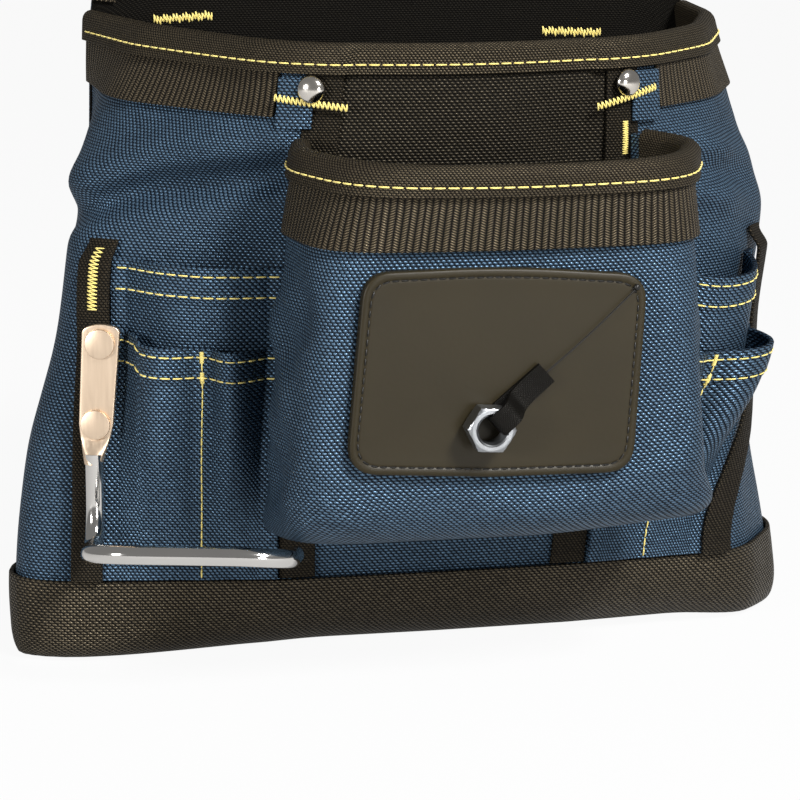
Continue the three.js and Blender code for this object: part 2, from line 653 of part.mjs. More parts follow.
// Folded binding tape over the rim, closer to the middle panel where no webbing lies under it
{
  const overBand = 2 * LAYER_GAP + TAPE;
  const stepDown = 0.03;
  const bareFrom = panelSeamLeft(RIM_Z) + stepDown;
  const bareTo = panelSeamRight(RIM_Z) - stepDown;
  const leg = (share) => mix(
    overBand,
    LAYER_GAP,
    smooth((share - bareFrom) / stepDown) * smooth((bareTo - share) / stepDown),
  );
  const inner = -FABRIC - LAYER_GAP;
  const profile = (share) => [
    [inner - BIND, -BIND_DROP], [inner - BIND, 0], [leg(share) + BIND, 0], [leg(share) + BIND, -BIND_DROP],
    [leg(share), -BIND_DROP], [leg(share), -BIND], [inner, -BIND], [inner, -BIND_DROP],
  ];
  const shares = rimColumns(-SIDE_END, SIDE_END);
  const loops = shares.map((s) => profile(s).map(([out, up]) => wall(s, rimHeight(s) + up, out)));
  const flat = (p, k, i) => new THREE.Vector2(...profile(shares[k])[i]);
  addMesh('rim_binding', loft(loops, flat), 'binding_tape');
}

// Tool sleeves on the two sides, sewn along their edges and gaping at the mouth
const bump = (c, from, to) => Math.sin(Math.PI * Math.min(Math.max((c - from) / (to - from), 0), 1));
const lobe = (c) => bump(c, SEAM_MARGIN, 1 - SEAM_MARGIN);
const twin = (c, divide) => bump(c, SEAM_MARGIN, divide - SEAM_MARGIN / 2)
  + bump(c, divide + SEAM_MARGIN / 2, 1 - SEAM_MARGIN);
const risen = (z, rise) => smooth((z - BULGE_START) / rise);
function sleeve(from, to, mouth, out) {
  return slab(even(16), even(6), (c, r, side) => {
    const z = mix(STRAP_FOOT, mouth(c), r);
    return wall(mix(from(z), to(z), c), z, out(c, z) + (side ? THIN_FABRIC : 0));
  });
}
const SECOND = SLEEVE_GAP + THIN_FABRIC + LAYER_GAP;
function sleevePair(prefix, from, to, shape) {
  const upperMouth = (c) => mix(...shape.upper, smooth(c)) - shape.dips[0] * lobe(c);
  const lowerMouth = (c) => mix(...shape.lower, smooth(c)) - shape.dips[1] * lobe(c);
  const gaping = (c, z) => shape.gape * lobe(c) * risen(z, UPPER_RISE);
  const bulging = (c, z) => shape.bulge * twin(c, shape.divide) * risen(z, LOWER_RISE);
  const upperOut = (c, z) => SLEEVE_GAP + gaping(c, z);
  const lowerOut = (c, z) => SECOND + gaping(c, z) + bulging(c, z);
  addMesh(`${prefix}_upper_sleeve`, sleeve(from, to, upperMouth, upperOut), 'blue_nylon');
  addMesh(`${prefix}_lower_sleeve`, sleeve(from, to, lowerMouth, lowerOut), 'blue_nylon');
}
const STRAP_OVERLAP = 4.8;
const besideStrap = STRAP_WIDTH / 2 + 2 * SEAT_GAP;
sleevePair('left', beside(hammerLine, STRAP_OVERLAP), beside(seamStrapLeft, -besideStrap), LEFT_SLEEVES);
sleevePair('right', beside(seamStrapRight, besideStrap), beside(rightStrapLine, -STRAP_OVERLAP), RIGHT_SLEEVES);

// Outer straps over the sleeves' free edges
const STRAP_OUT = SECOND + THIN_FABRIC + LAYER_GAP;
function outerStrap(centre, top, rows) {
  const overSleeves = (z) => mix(LAYER_GAP, STRAP_OUT, smooth((top - 1 - z) / STRAP_STEP));
  return strap(centre, OUTER_STRAP_WIDTH, STRAP_FOOT, () => top, overSleeves, 5, rows);
}
addMesh('hammer_strap', cutAway(
  outerStrap(hammerLine, HAMMER_STRAP_TOP, 16),
  hammerFrames.map((f) => bore(f, SHANK_BORE)),
), 'black_webbing');
addMesh('side_strap_right', outerStrap(rightStrapLine, SIDE_STRAP_TOP, 15), 'black_webbing');

// Boot: a shallow tray of heavy fabric round the foot of every panel
{
  const shares = columnsBetween(-1, 1);
  const ring = (z, lift, out, rear) => {
    const loop = shares.map((s) => wall(s, z, out).setZ(z + lift));
    const left = loop[0];
    const right = loop[loop.length - 1];
    const back = [];
    for (const t of even(8)) {
      back.push(new THREE.Vector3(mix(right.x, left.x, t), rear, z + lift));
    }
    return [...loop, ...back];
  };
  const heights = [0, 3, 8, 15, 22, BOOT_TOP];
  const rearInner = BACK_FACE + LAYER_GAP;
  const inner = heights.map((z) => ring(z, BOOT_FLOOR * (1 - z / BOOT_TOP), BOOT_GAP, rearInner));
  const outer = heights.map((z) => ring(z, 0, BOOT_GAP + FABRIC, rearInner + FABRIC)).reverse();
  addMesh('boot', loft([...inner, ...outer], (p) => new THREE.Vector2(p.x, p.y)), 'black_nylon');
}

// Front pocket: bellied wall, floor, webbing band and binding
const pocketColumns = even(42).map((t) => mix(-1, 1, t));
const pocketRows = [0, 0.1, 0.21, 0.4, 0.6, 0.76, 0.85, 0.93, 1];
addMesh('front_pocket_wall', slab(pocketColumns, pocketRows, (c, r, side) => {
  const z = mix(pocketFoot(c), pocketRim(c) - BIND - LAYER_GAP, r);
  return pocket(c, z, side ? 0 : -FABRIC);
}), 'blue_nylon');
{
  const edge = (drop) => pocketColumns.map((c) => {
    const point = pocket(c, pocketFoot(c), -0.2);
    return point.setZ(point.z - drop);
  });
  const faces = [edge(2 * LAYER_GAP + FABRIC), edge(2 * LAYER_GAP)];
  addMesh('front_pocket_floor', loft(faces, (p) => new THREE.Vector2(p.x, p.y)), 'blue_nylon');
}
const tapeColumns = [-TAPE_END, ...pocketColumns.filter((c) => Math.abs(c) < TAPE_END - 0.01), TAPE_END];
addMesh('front_pocket_webbing', slab(tapeColumns, even(3), (c, r, side) => {
  const z = mix(pocketRim(c) - POCKET_BAND_DROP, pocketRim(c) - BIND - 2 * LAYER_GAP, r);
  return pocket(c, z, POCKET_GAP + (side ? TAPE : 0));
}), 'black_webbing');
{
  const leg = 2 * POCKET_GAP + TAPE;
  const inner = -FABRIC - POCKET_GAP;
  const profile = [
    [inner - BIND, -BIND_DROP], [inner - BIND, 0], [leg + BIND, 0], [leg + BIND, -BIND_DROP],
    [leg, -BIND_DROP], [leg, -BIND], [inner, -BIND], [inner, -BIND_DROP],
  ];
  const loops = tapeColumns.map((c) => profile.map(([out, up]) => pocket(c, pocketRim(c) + up, out)));
  addMesh('front_pocket_binding', loft(loops, (p, k, i) => new THREE.Vector2(...profile[i])), 'binding_tape');
}

// Magnetic patch: a moulded rubber plate with a raised border, its magnet sheet let into the back
const patchFront = PATCH_Y - LAYER_GAP - PATCH.thick;
function patchOutline(inset) {
  const low = PATCH.width / 2 - inset;
  const high = low - PATCH.taper;
  const shift = PATCH.lean / 2;
  const up = PATCH.height / 2 - inset;
  const points = [
    [-shift, -up - PATCH.sag], [low - shift, -up], [high + shift, up], [shift, up + PATCH.arch],
    [shift - high, up], [-low - shift, -up], [-shift, -up - PATCH.sag],
  ].map(([x, z]) => new THREE.Vector2(x, z));
  const corner = PATCH.corner - inset * 0.8;
  return new THREE.Shape(rounded(points, [corner, corner, PATCH.bow, corner, corner]).slice(0, -1));
}
function patchPlate(inset, thickness, frontY) {
  const geometry = uprightPlate(patchOutline(inset), thickness, frontY, 6);
  geometry.rotateY(PATCH.turn * Math.PI / 180);
  geometry.translate(PATCH.x, 0, PATCH.z);
  return geometry;
}
const magnetFront = patchFront + PATCH.thick - MAGNET.thick;
const PAST = 1;
addMesh('magnet_patch', cutAway(
  patchPlate(0, PATCH.thick + PATCH.raise, patchFront - PATCH.raise),
  [
    patchPlate(PATCH.border, PATCH.raise + PAST, patchFront - PATCH.raise - PAST),
    patchPlate(MAGNET.inset - SEAT_GAP, MAGNET.thick + SEAT_GAP + PAST, magnetFront - SEAT_GAP),
  ],
), 'patch_rubber');
addMesh('magnet_sheet', patchPlate(MAGNET.inset, MAGNET.thick, magnetFront), 'magnet_sheet');

// Rivets
const overTab = 3 * LAYER_GAP + TAPE + THIN_FABRIC + SEAT_GAP;
addMesh('rivet_left', rivet(domeFrames[0], DOME_RIVET, overTab, true), 'rivet_steel');
addMesh('rivet_right', rivet(domeFrames[1], DOME_RIVET, overTab, true), 'rivet_steel');

// Hammer holder: a flattened plate drawn out into a round rod and bent to an open loop
const PLATE_OUT = STRAP_OUT + TAPE + TAIL_HEIGHT;
const plateFrame = faceFrame(plateLine(PLATE.z), PLATE.z, 0, HAMMER_TURN);
{
  const inverse = plateFrame.clone().invert();
  const inPlate = (f) => new THREE.Vector3().setFromMatrixPosition(f).applyMatrix4(inverse);
  const [upper, lower] = hammerFrames.map(inPlate);
  const out = Math.max(upper.z, lower.z, 0) + PLATE_OUT;
  const lean = (upper.x - lower.x) / (upper.y - lower.y);
  const middle = (y) => upper.x + lean * (y - upper.y);
  const flat = PLATE.head - PLATE.top + PLATE.shoulder;
  const outline = new THREE.Shape();
  outline.moveTo(middle(PLATE.foot) - PLATE.neck, PLATE.foot);
  outline.lineTo(middle(PLATE.foot) + PLATE.neck, PLATE.foot);
  outline.lineTo(middle(PLATE.hip) + PLATE.waist, PLATE.hip);
  outline.lineTo(middle(PLATE.shoulder) + PLATE.head, PLATE.shoulder);
  outline.quadraticCurveTo(middle(PLATE.top) + PLATE.head, PLATE.top, middle(PLATE.top) + flat, PLATE.top);
  outline.lineTo(middle(PLATE.top) - flat, PLATE.top);
  outline.quadraticCurveTo(
    middle(PLATE.top) - PLATE.head, PLATE.top, middle(PLATE.shoulder) - PLATE.head, PLATE.shoulder,
  );
  outline.lineTo(middle(PLATE.hip) - PLATE.waist, PLATE.hip);
  const plate = new THREE.ExtrudeGeometry(outline, {
    depth: PLATE_THICKNESS, bevelEnabled: false, curveSegments: 5,
  });
  plate.translate(0, 0, out);
  const foot = new THREE.Vector3(middle(ROD_START[1]), 0, out + ROD_RADIUS);
  const at = (point) => new THREE.Vector3(...point).add(foot);
  const path = new THREE.CurvePath();
  const line = (p, q) => path.add(new THREE.LineCurve3(at(p), at(q)));
  const turn = (p, q, r) => path.add(new THREE.QuadraticBezierCurve3(at(p), at(q), at(r)));
  line(ROD_START, ROD_STEM);
  turn(ROD_STEM, ROD_HEEL, ROD_TOE);
  line(ROD_TOE, ROD_ARM);
  turn(ROD_ARM, ROD_CORNERS[0], ROD_BAR[0]);
  line(ROD_BAR[0], ROD_BAR[1]);
  turn(ROD_BAR[1], ROD_CORNERS[1], ROD_END[0]);
  line(ROD_END[0], ROD_END[1]);
  const round = new THREE.Shape();
  round.absarc(0, 0, ROD_RADIUS, 0, Math.PI * 2, false);
  const rod = new THREE.ExtrudeGeometry(round, {
    steps: 38,
    extrudePath: new THREE.CatmullRomCurve3(path.getSpacedPoints(60)),
    curveSegments: 6,
    bevelEnabled: false,
  });
  plate.applyMatrix4(plateFrame);
  rod.applyMatrix4(plateFrame);
  const holder = toSolid(plate).add(toSolid(rod));
  const holes = hammerFrames.map((f) => toSolid(bore(f, SHANK_BORE)));
  const drilled = holes.reduce((solid, hole) => solid.subtract(hole), holder);
  addMesh('hammer_holder', toGeometry(drilled), 'satin_steel');
  const rivets = [['hammer_rivet_upper', upper], ['hammer_rivet_lower', lower]];
  rivets.forEach(([name, own], i) => {
    const headBase = out - own.z + PLATE_THICKNESS + SEAT_GAP;
    addMesh(name, rivet(hammerFrames[i], FLAT_RIVET, headBase, false), 'satin_steel');
  });
}

// Hex nut held by the patch, its ribbon loop and the thread that keeps it from being lost
const away = new THREE.Vector3(ANCHOR.x - NUT.x, 0, ANCHOR.z - NUT.z).normalize();
const tetherFrame = new THREE.Matrix4().makeBasis(
  away,
  new THREE.Vector3(0, -1, 0),
  away.clone().cross(new THREE.Vector3(0, -1, 0)),
).setPosition(NUT.x, patchFront, NUT.z);
{
  const corner = NUT.flats / Math.sqrt(3);
  const face = NUT.thick / 2;
  const prism = new THREE.CylinderGeometry(corner, corner, NUT.thick, 6);
  const chamfer = new THREE.LatheGeometry([
    [0, -face], [NUT.flats / 2 - 0.2, -face], [corner + 0.2, NUT.chamfer - face],
    [corner + 0.2, face - NUT.chamfer], [NUT.flats / 2 - 0.2, face], [0, face],
  ].map(([r, h]) => new THREE.Vector2(r, h)), 24);
  const hole = new THREE.LatheGeometry([
    [0, -NUT.thick], [NUT.hole / 2 + face, -NUT.thick], [NUT.hole / 2, NUT.lead - face],
    [NUT.hole / 2, face - NUT.lead], [NUT.hole / 2 + face, NUT.thick], [0, NUT.thick],
  ].map(([r, h]) => new THREE.Vector2(r, h)), 18);
  const nut = toGeometry(toSolid(prism).intersect(toSolid(chamfer)).subtract(toSolid(hole)));
  nut.rotateY(Math.PI / 12);
  nut.translate(0, NUT.lift + NUT.thick / 2, 0);
  addMesh('hex_nut', nut.applyMatrix4(tetherFrame), 'zinc_nut');
}
{
  const inside = NUT.hole / 2 - 2.3;
  const outside = NUT.flats / Math.sqrt(3) + 1.3 * RIBBON.gap;
  const low = NUT.lift - RIBBON.gap;
  const high = NUT.lift + NUT.thick + RIBBON.gap;
  const t = RIBBON.thick;
  const shape = new THREE.Shape([
    [inside - t, low - t], [outside + t, low - t], [RIBBON.tail, low + t / 2], [RIBBON.tail, low + 2.5 * t],
    [outside + 5, low + 3.75 * t], [outside + t, high + t], [inside - t, high + t],
  ].map(([d, y]) => new THREE.Vector2(d, y)));
  shape.holes.push(new THREE.Path([
    [inside, low], [inside, high], [outside, high], [outside + 4, low + 3 * t], [outside + 3, low + t],
    [outside, low],
  ].map(([d, y]) => new THREE.Vector2(d, y))));
  const geometry = new THREE.ExtrudeGeometry(shape, { depth: RIBBON.width, bevelEnabled: false });
  geometry.translate(0, 0, -RIBBON.width / 2);
  addMesh('nut_ribbon', geometry.applyMatrix4(tetherFrame), 'ribbon');
}
{
  const reach = Math.hypot(ANCHOR.x - NUT.x, ANCHOR.z - NUT.z);
  const knot = new THREE.CylinderGeometry(ANCHOR.radius, ANCHOR.radius, ANCHOR.height, 16);
  const above = PATCH.raise + SEAT_GAP + ANCHOR.height / 2;
  knot.translate(reach, above, 0);
  addMesh('tether_anchor', knot.applyMatrix4(tetherFrame), 'thread');
  const start = RIBBON.tail + SEAT_GAP;
  const end = reach - ANCHOR.radius - SEAT_GAP;
  const thread = new THREE.CylinderGeometry(THREAD_RADIUS, THREAD_RADIUS, end - start, 8);
  thread.rotateZ(Math.PI / 2);
  thread.translate((start + end) / 2, above, 0);
  addMesh('tether_thread', thread.applyMatrix4(tetherFrame), 'thread');
}

export default part;
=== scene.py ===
# %% [markdown]
# # A belt-worn tool pouch in woven nylon
# The pouch is sewn from coarse blue and black nylon, edged with folded tape, and riveted where it
# carries the most load. Every cloth piece here is a grid of points worked out with numpy on the same
# two surfaces that the solid model uses: the wall of the main pocket and the wall of the front pocket.

# %% Frame
import math

import bmesh
import bpy
import numpy as np
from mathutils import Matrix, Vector


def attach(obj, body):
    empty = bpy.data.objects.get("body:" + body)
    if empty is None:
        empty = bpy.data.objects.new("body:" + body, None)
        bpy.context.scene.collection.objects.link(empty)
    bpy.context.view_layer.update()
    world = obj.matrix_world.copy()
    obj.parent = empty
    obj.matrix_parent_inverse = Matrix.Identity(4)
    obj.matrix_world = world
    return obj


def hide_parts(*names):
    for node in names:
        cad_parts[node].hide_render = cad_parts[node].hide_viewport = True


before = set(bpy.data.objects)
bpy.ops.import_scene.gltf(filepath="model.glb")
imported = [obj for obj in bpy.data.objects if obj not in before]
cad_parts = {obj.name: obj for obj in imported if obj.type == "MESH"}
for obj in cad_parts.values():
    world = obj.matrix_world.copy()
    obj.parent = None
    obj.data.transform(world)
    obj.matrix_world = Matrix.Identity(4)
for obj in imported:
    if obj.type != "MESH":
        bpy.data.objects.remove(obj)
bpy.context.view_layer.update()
MM = 0.001

# %% [markdown]
# ## Camera
# The photograph was taken from a little to the left and above, with a long lens. A camera aimed by a
# direction rather than by angles is the easiest to check against the picture.

# %% Camera
CAMERA_AT = Vector((-0.2725, -1.1503, 0.3095))
CAMERA_LOOKS = Vector((0.2209, 0.9568, -0.1891))
LENS = 150.0
SENSOR = 36.0

camera_data = bpy.data.cameras.new("camera")
camera_data.lens = LENS
camera_data.sensor_width = SENSOR
camera_data.clip_end = 100.0
camera = bpy.data.objects.new("camera", camera_data)
camera.location = CAMERA_AT
camera.rotation_euler = CAMERA_LOOKS.to_track_quat("-Z", "Y").to_euler()
bpy.context.scene.collection.objects.link(camera)
bpy.context.scene.camera = camera
print("camera at", tuple(CAMERA_AT))

# %% [markdown]
# ## Shader arithmetic
# A woven pattern is a formula of two coordinates. Written as Python expressions it stays readable, so
# one small class wraps an output socket: adding two wires adds a Math node.


# %% Wires
class Wire:
    """An output socket of a node tree that can be used in an expression."""

    def __init__(self, tree, socket=None):
        self.tree = tree
        self.socket = socket

    def node(self, kind, settings=None, inputs=None, out=0):
        """Adds a node of a kind, sets its options, then its socket values or links."""
        made = self.tree.nodes.new(kind)
        for key, value in (settings or {}).items():
            setattr(made, key, value)
        for key, value in (inputs or {}).items():
            if isinstance(value, Wire):
                self.tree.links.new(value.socket, made.inputs[key])
            else:
                made.inputs[key].default_value = value
        return Wire(self.tree, made.outputs[out])

    def other(self, out):
        """Another output of the same node."""
        return Wire(self.tree, self.socket.node.outputs[out])

    def math(self, operation, *values):
        """A Math node with an operation on values or wires."""
        return self.node("ShaderNodeMath", {"operation": operation}, dict(enumerate(values)))

    def __add__(self, value):
        return self.math("ADD", self, value)

    def __radd__(self, value):
        return self.math("ADD", value, self)

    def __sub__(self, value):
        return self.math("SUBTRACT", self, value)

    def __rsub__(self, value):
        return self.math("SUBTRACT", value, self)

    def __mul__(self, value):
        return self.math("MULTIPLY", self, value)

    def __rmul__(self, value):
        return self.math("MULTIPLY", value, self)

    def __truediv__(self, value):
        return self.math("DIVIDE", self, value)

    def __pow__(self, value):
        return self.math("POWER", self, value)

    def floor(self):
        return self.math("FLOOR", self)

    def fract(self):
        return self.math("FRACT", self)

    def cos(self):
        return self.math("COSINE", self)

    def clamp(self):
        return self.node("ShaderNodeClamp", inputs={0: self})

    def tint(self, low, high):
        """The colour between two others at this share."""
        return self.node("ShaderNodeMix", {"data_type": "RGBA"}, {0: self, 6: low, 7: high}, out=2)


def finish_of(name, **constants):
    """A new material: its wire to build on and its shader node, with the values that stay the same."""
    material = bpy.data.materials.new(name)
    material.use_nodes = True
    shader = material.node_tree.nodes["Principled BSDF"]
    for key, value in constants.items():
        shader.inputs[key.replace("_", " ")].default_value = value
    return material, Wire(material.node_tree), shader


def feed(wire, shader, socket):
    """Links a wire to a socket of a shader."""
    wire.tree.links.new(wire.socket, shader.inputs[socket])


def bumped(height, distance, strength):
    """A surface normal raised by a height from 0 to 1, over a distance in metres."""
    settings = {"Height": height, "Distance": distance, "Strength": strength}
    return height.node("ShaderNodeBump", inputs=settings)


print("wires ready")

# %% [markdown]
# ## Cloth finishes
# Every cloth piece carries a map named cloth, in millimetres along and across the threads, so a pattern
# keeps its real size on every piece. In a basket weave the thread on top shows as a short oval float, and
# each row of floats is set half a step aside from the row below. The gaps are painted near black as painted
# shade, a fine dark net, and the float tops are painted lighter as painted highlight.

# %% Woven nylon
CLOTH_MAP = "cloth"
CLOUD_SCALE = 0.05
GRAIN_SCALE = 0.9
LEAN = 0.22
WANDER_ALONG = 0.1
WANDER_ACROSS = 0.16
DULL = 0.1


def cloth_axes(wire):
    """The cloth map's place, its two coordinates in mm, and a slow cloud for patchy wear."""
    place = wire.node("ShaderNodeUVMap", {"uv_map": CLOTH_MAP})
    along = place.node("ShaderNodeSeparateXYZ", inputs={0: place})
    cloud = place.node("ShaderNodeTexNoise", inputs={"Vector": place, "Scale": CLOUD_SCALE, "Detail": 3.0})
    return place, along, along.other(1), cloud


def woven(name, float_length, row, dark, lit, relief, rough, shine=0.65):
    """Staggered rows of short slanted floats: their length and spacing in mm, the colour of the gaps, which
    is painted shade, and of the float tops, the thread's colour with painted highlight, the height of a
    float, the roughness of its top and how strongly it shines."""
    material, wire, shader = finish_of(name, Specular_IOR_Level=DULL)
    place, along, across, cloud = cloth_axes(wire)
    noise = {"Vector": place, "Scale": GRAIN_SCALE, "Detail": 2.0}
    grain = wire.node("ShaderNodeTexNoise", inputs=noise) - 0.5
    v = across / row + grain * WANDER_ACROSS
    u = along / float_length + (v.floor() * 0.5).fract() + v.fract() * LEAN + grain * WANDER_ALONG
    cell_u = 2.0 * u.fract() - 1.0
    cell_v = 2.0 * v.fract() - 1.0
    cell = wire.node("ShaderNodeCombineXYZ", inputs={0: u.floor(), 1: v.floor()})
    chance = wire.node("ShaderNodeTexWhiteNoise", {"noise_dimensions": "2D"}, {"Vector": cell})
    height = (1.0 - 1.1 * cell_u * cell_u - 0.85 * cell_v * cell_v).clamp()
    # Colour follows the float's height: the gaps get the dark colour as painted shade, the tops the lit
    # colour as painted highlight; cloud and chance vary the tone at random.
    shade = (((height * 1.2).clamp() ** 1.3) * (0.5 + cloud * 0.5 + chance * 0.4)).clamp()
    feed(shade.tint(dark, lit), shader, "Base Color")
    feed(shade * shine, shader, "Metallic")
    feed(rough + 0.3 * (1.0 - height), shader, "Roughness")
    feed(bumped(height, relief * MM, 1.0), shader, "Normal")
    return material


BLUE_DARK = (0.002, 0.0035, 0.007, 1.0)
BLUE_LIT = (0.098, 0.168, 0.25, 1.0)
BLACK_DARK = (0.0015, 0.0012, 0.0009, 1.0)
BLACK_LIT = (0.11, 0.09, 0.06, 1.0)
# The middle panel's nylon is the boot's black nylon with its thread colour darkened: painted shade for the
# shadow that the front pocket and the rim cast on it.
SHADED_BLACK_LIT = (0.05, 0.042, 0.029, 1.0)
TAPE_DARK = (0.002, 0.0016, 0.001, 1.0)
TAPE_LIT = (0.08, 0.064, 0.041, 1.0)
# The straps' webbing is darker than the tape: partly its own dark colour, partly painted shade for the
# shadow lying on the straps.
SHADED_STRAP_LIT = (0.036, 0.029, 0.019, 1.0)
# The lining's thread colour is near black: partly the lining cloth's own dark colour, partly painted shade
# for the shade behind the rim inside the pouch.
SHADED_LINING_LIT = (0.011, 0.0095, 0.007, 1.0)
RIBBON_LIT = (0.011, 0.01, 0.008, 1.0)
blue_nylon = woven("blue_nylon", 1.9, 1.05, BLUE_DARK, BLUE_LIT, 0.45, 0.3)
black_nylon = woven("black_nylon", 1.9, 1.05, BLACK_DARK, BLACK_LIT, 0.45, 0.3)
shaded_lining_nylon = woven("shaded_lining_nylon", 1.4, 0.8, BLACK_DARK, SHADED_LINING_LIT, 0.3, 0.6)
shaded_black_nylon = woven("shaded_black_nylon", 1.9, 1.05, BLACK_DARK, SHADED_BLACK_LIT, 0.42, 0.36)
binding_tape = woven("binding_tape", 1.3, 0.8, TAPE_DARK, TAPE_LIT, 0.25, 0.4)
shaded_strap_webbing = woven("shaded_strap_webbing", 1.4, 0.9, TAPE_DARK, SHADED_STRAP_LIT, 0.3, 0.42)
ribbon_cloth = woven("ribbon_cloth", 0.9, 0.45, BLACK_DARK, RIBBON_LIT, 0.12, 0.25)
print("woven finishes:", [material.name for material in bpy.data.materials if material.use_nodes])

# %% [markdown]
# Webbing is heavier: ribs run across the tape, and each rib is a stack of short slanted threads whose
# slant turns round from one rib to the next.


# %% Ribbed webbing
def ribbed(name, rib, pick, dark, lit):
    """Ribs of one spacing, each a stack of slanted threads of another spacing, both in mm."""
    material, wire, shader = finish_of(name, Specular_IOR_Level=DULL)
    _, along, across, cloud = cloth_axes(wire)
    u = along / rib
    cell_u = u.fract() - 0.5
    way = (u.floor() * 0.5).fract() * 4.0 - 1.0
    stacked = across / pick + way * cell_u * 1.1
    thread = 0.5 + 0.5 * (stacked * math.tau).cos()
    height = (1.0 - 3.8 * cell_u * cell_u) * (0.35 + 0.65 * thread)
    # Colour follows the relief: dark between ribs and threads as painted shade, light on their tops as
    # painted highlight.
    shade = ((height ** 2.4) * (0.7 + cloud * 0.7)).clamp()
    feed(shade.tint(dark, lit), shader, "Base Color")
    feed(shade * 0.5, shader, "Metallic")
    feed(0.66 - 0.3 * height, shader, "Roughness")
    feed(bumped(height, 0.6 * MM, 1.0), shader, "Normal")
    return material


WEBBING_LIT = (0.18, 0.143, 0.092, 1.0)
black_webbing = ribbed("black_webbing", 2.3, 0.87, TAPE_DARK, WEBBING_LIT)
print("webbing finish:", black_webbing.name)

# %% [markdown]
# ## Rubber, thread and metal
# The patch is moulded rubber with a satin skin and a fine grain. The thread is a twisted yellow polyester.
# The steel parts differ only in how smooth they are and in how warm their plating is. One function with
# a slow and a fine noise serves them all, because none has a pattern that the eye could follow.


# %% Other finishes
def mottled(name, low, high, scale, rough_low, rough_high, relief, **constants):
    """A finish that drifts between two colours and two roughnesses over a cloud, in object space."""
    material, wire, shader = finish_of(name, **constants)
    place = wire.node("ShaderNodeTexCoord", out=3)
    cloud = place.node("ShaderNodeTexNoise", inputs={"Vector": place, "Scale": scale, "Detail": 5.0})
    fine = place.node("ShaderNodeTexNoise", inputs={"Vector": place, "Scale": scale * 14.0, "Detail": 2.0})
    feed(cloud.tint(low, high), shader, "Base Color")
    feed(rough_low + (rough_high - rough_low) * cloud, shader, "Roughness")
    feed(bumped(fine, relief * MM, 0.5), shader, "Normal")
    return material


def drawn_steel(name, low, high, rough):
    """Plated steel with fine upright drawing marks."""
    material, wire, shader = finish_of(name, Metallic=1.0)
    place = wire.node("ShaderNodeTexCoord", out=3)
    stretched = place.node("ShaderNodeMapping", inputs={"Vector": place, "Scale": (900.0, 900.0, 60.0)})
    marks = place.node("ShaderNodeTexNoise", inputs={"Vector": stretched, "Scale": 1.0, "Detail": 4.0})
    feed(marks.tint(low, high), shader, "Base Color")
    feed(rough + 0.16 * marks, shader, "Roughness")
    feed(bumped(marks, 0.03 * MM, 0.3), shader, "Normal")
    return material


patch_rubber = mottled("patch_rubber", (0.0155, 0.0118, 0.005, 1.0), (0.024, 0.0185, 0.0085, 1.0), 40.0,
                       0.38, 0.48, 0.05, Specular_IOR_Level=0.18)
yellow_thread = mottled("yellow_thread", (0.66, 0.5, 0.1, 1.0), (0.86, 0.74, 0.26, 1.0), 900.0,
                        0.45, 0.6, 0.1, Specular_IOR_Level=0.5, Sheen_Weight=0.2)
dark_thread = mottled("dark_thread", (0.002, 0.002, 0.0015, 1.0), (0.008, 0.007, 0.006, 1.0), 800.0,
                      0.3, 0.5, 0.05, Specular_IOR_Level=0.4)
magnet_grey = mottled("magnet_grey", (0.03, 0.028, 0.026, 1.0), (0.05, 0.047, 0.044, 1.0), 60.0,
                      0.6, 0.75, 0.05)
plate_steel = drawn_steel("plate_steel", (0.66, 0.5, 0.36, 1.0), (0.85, 0.68, 0.51, 1.0), 0.3)
rod_chrome = mottled("rod_chrome", (0.62, 0.6, 0.57, 1.0), (0.74, 0.72, 0.69, 1.0), 30.0, 0.08, 0.12, 0.001,
                     Metallic=1.0)
rivet_nickel = mottled("rivet_nickel", (0.6, 0.56, 0.5, 1.0), (0.78, 0.74, 0.69, 1.0), 60.0, 0.1, 0.2, 0.01,
                       Metallic=1.0)
nut_zinc = mottled("nut_zinc", (0.24, 0.25, 0.26, 1.0), (0.42, 0.43, 0.44, 1.0), 260.0, 0.26, 0.42, 0.03,
                   Metallic=1.0)
print("plain finishes:", len(bpy.data.materials), "materials in all")

# %% [markdown]
# ## The two pocket walls
# The main pocket's plan is a line of corners at each of a few heights, rounded off and carried smoothly
# between them. A place on it is a share of the outline, from -1 at the left back edge to 1 at the right
# one, and a height. Both walls are worked out once on a fine grid and then read off between its points.

# %% Plan lines
BACK_Y = 42.0
BODY_HEIGHTS = np.array([0, 28, 70, 110, 150, 172, 216, 240], float)
BODY_CORNERS = np.array([
    [[-124, 42], [-157, -24], [-58, -42], [0, -43], [50, -42], [112, -36], [140, 4], [134, 42]],
    [[-124, 42], [-158, -23], [-58, -42], [0, -43], [50, -42], [110, -36], [136, 4], [131, 42]],
    [[-120, 42], [-152, -22], [-58, -49], [0, -51], [54, -49], [106, -38], [127, 2], [123, 42]],
    [[-117, 42], [-137, -20], [-58, -56], [0, -58], [57, -56], [104, -40], [125, 0], [120, 42]],
    [[-114, 42], [-129, -17], [-58, -61], [0, -65], [59, -60], [104, -40], [132, 0], [120, 42]],
    [[-112, 42], [-122, -8], [-58, -63], [0, -69], [60, -62], [100, -38], [127, 4], [118, 42]],
    [[-111, 42], [-97, 2], [-58, -64], [2, -75], [62, -62], [93, -30], [110, 10], [111, 42]],
    [[-110, 42], [-97, 2], [-58, -64], [2, -75], [62, -62], [93, -30], [110, 10], [111, 42]],
], float)
BODY_RADII = np.array([
    [24, 60, 200, 70, 34, 40], [24, 60, 200, 70, 34, 40],
    [24, 60, 200, 70, 36, 40], [24, 60, 200, 70, 36, 40],
    [24, 60, 160, 70, 40, 40], [28, 60, 140, 60, 44, 44],
    [50, 50, 130, 50, 50, 36], [50, 50, 130, 50, 50, 36],
], float)
POCKET_HEIGHTS = np.array([52, 64, 78, 120, 152, 186], float)
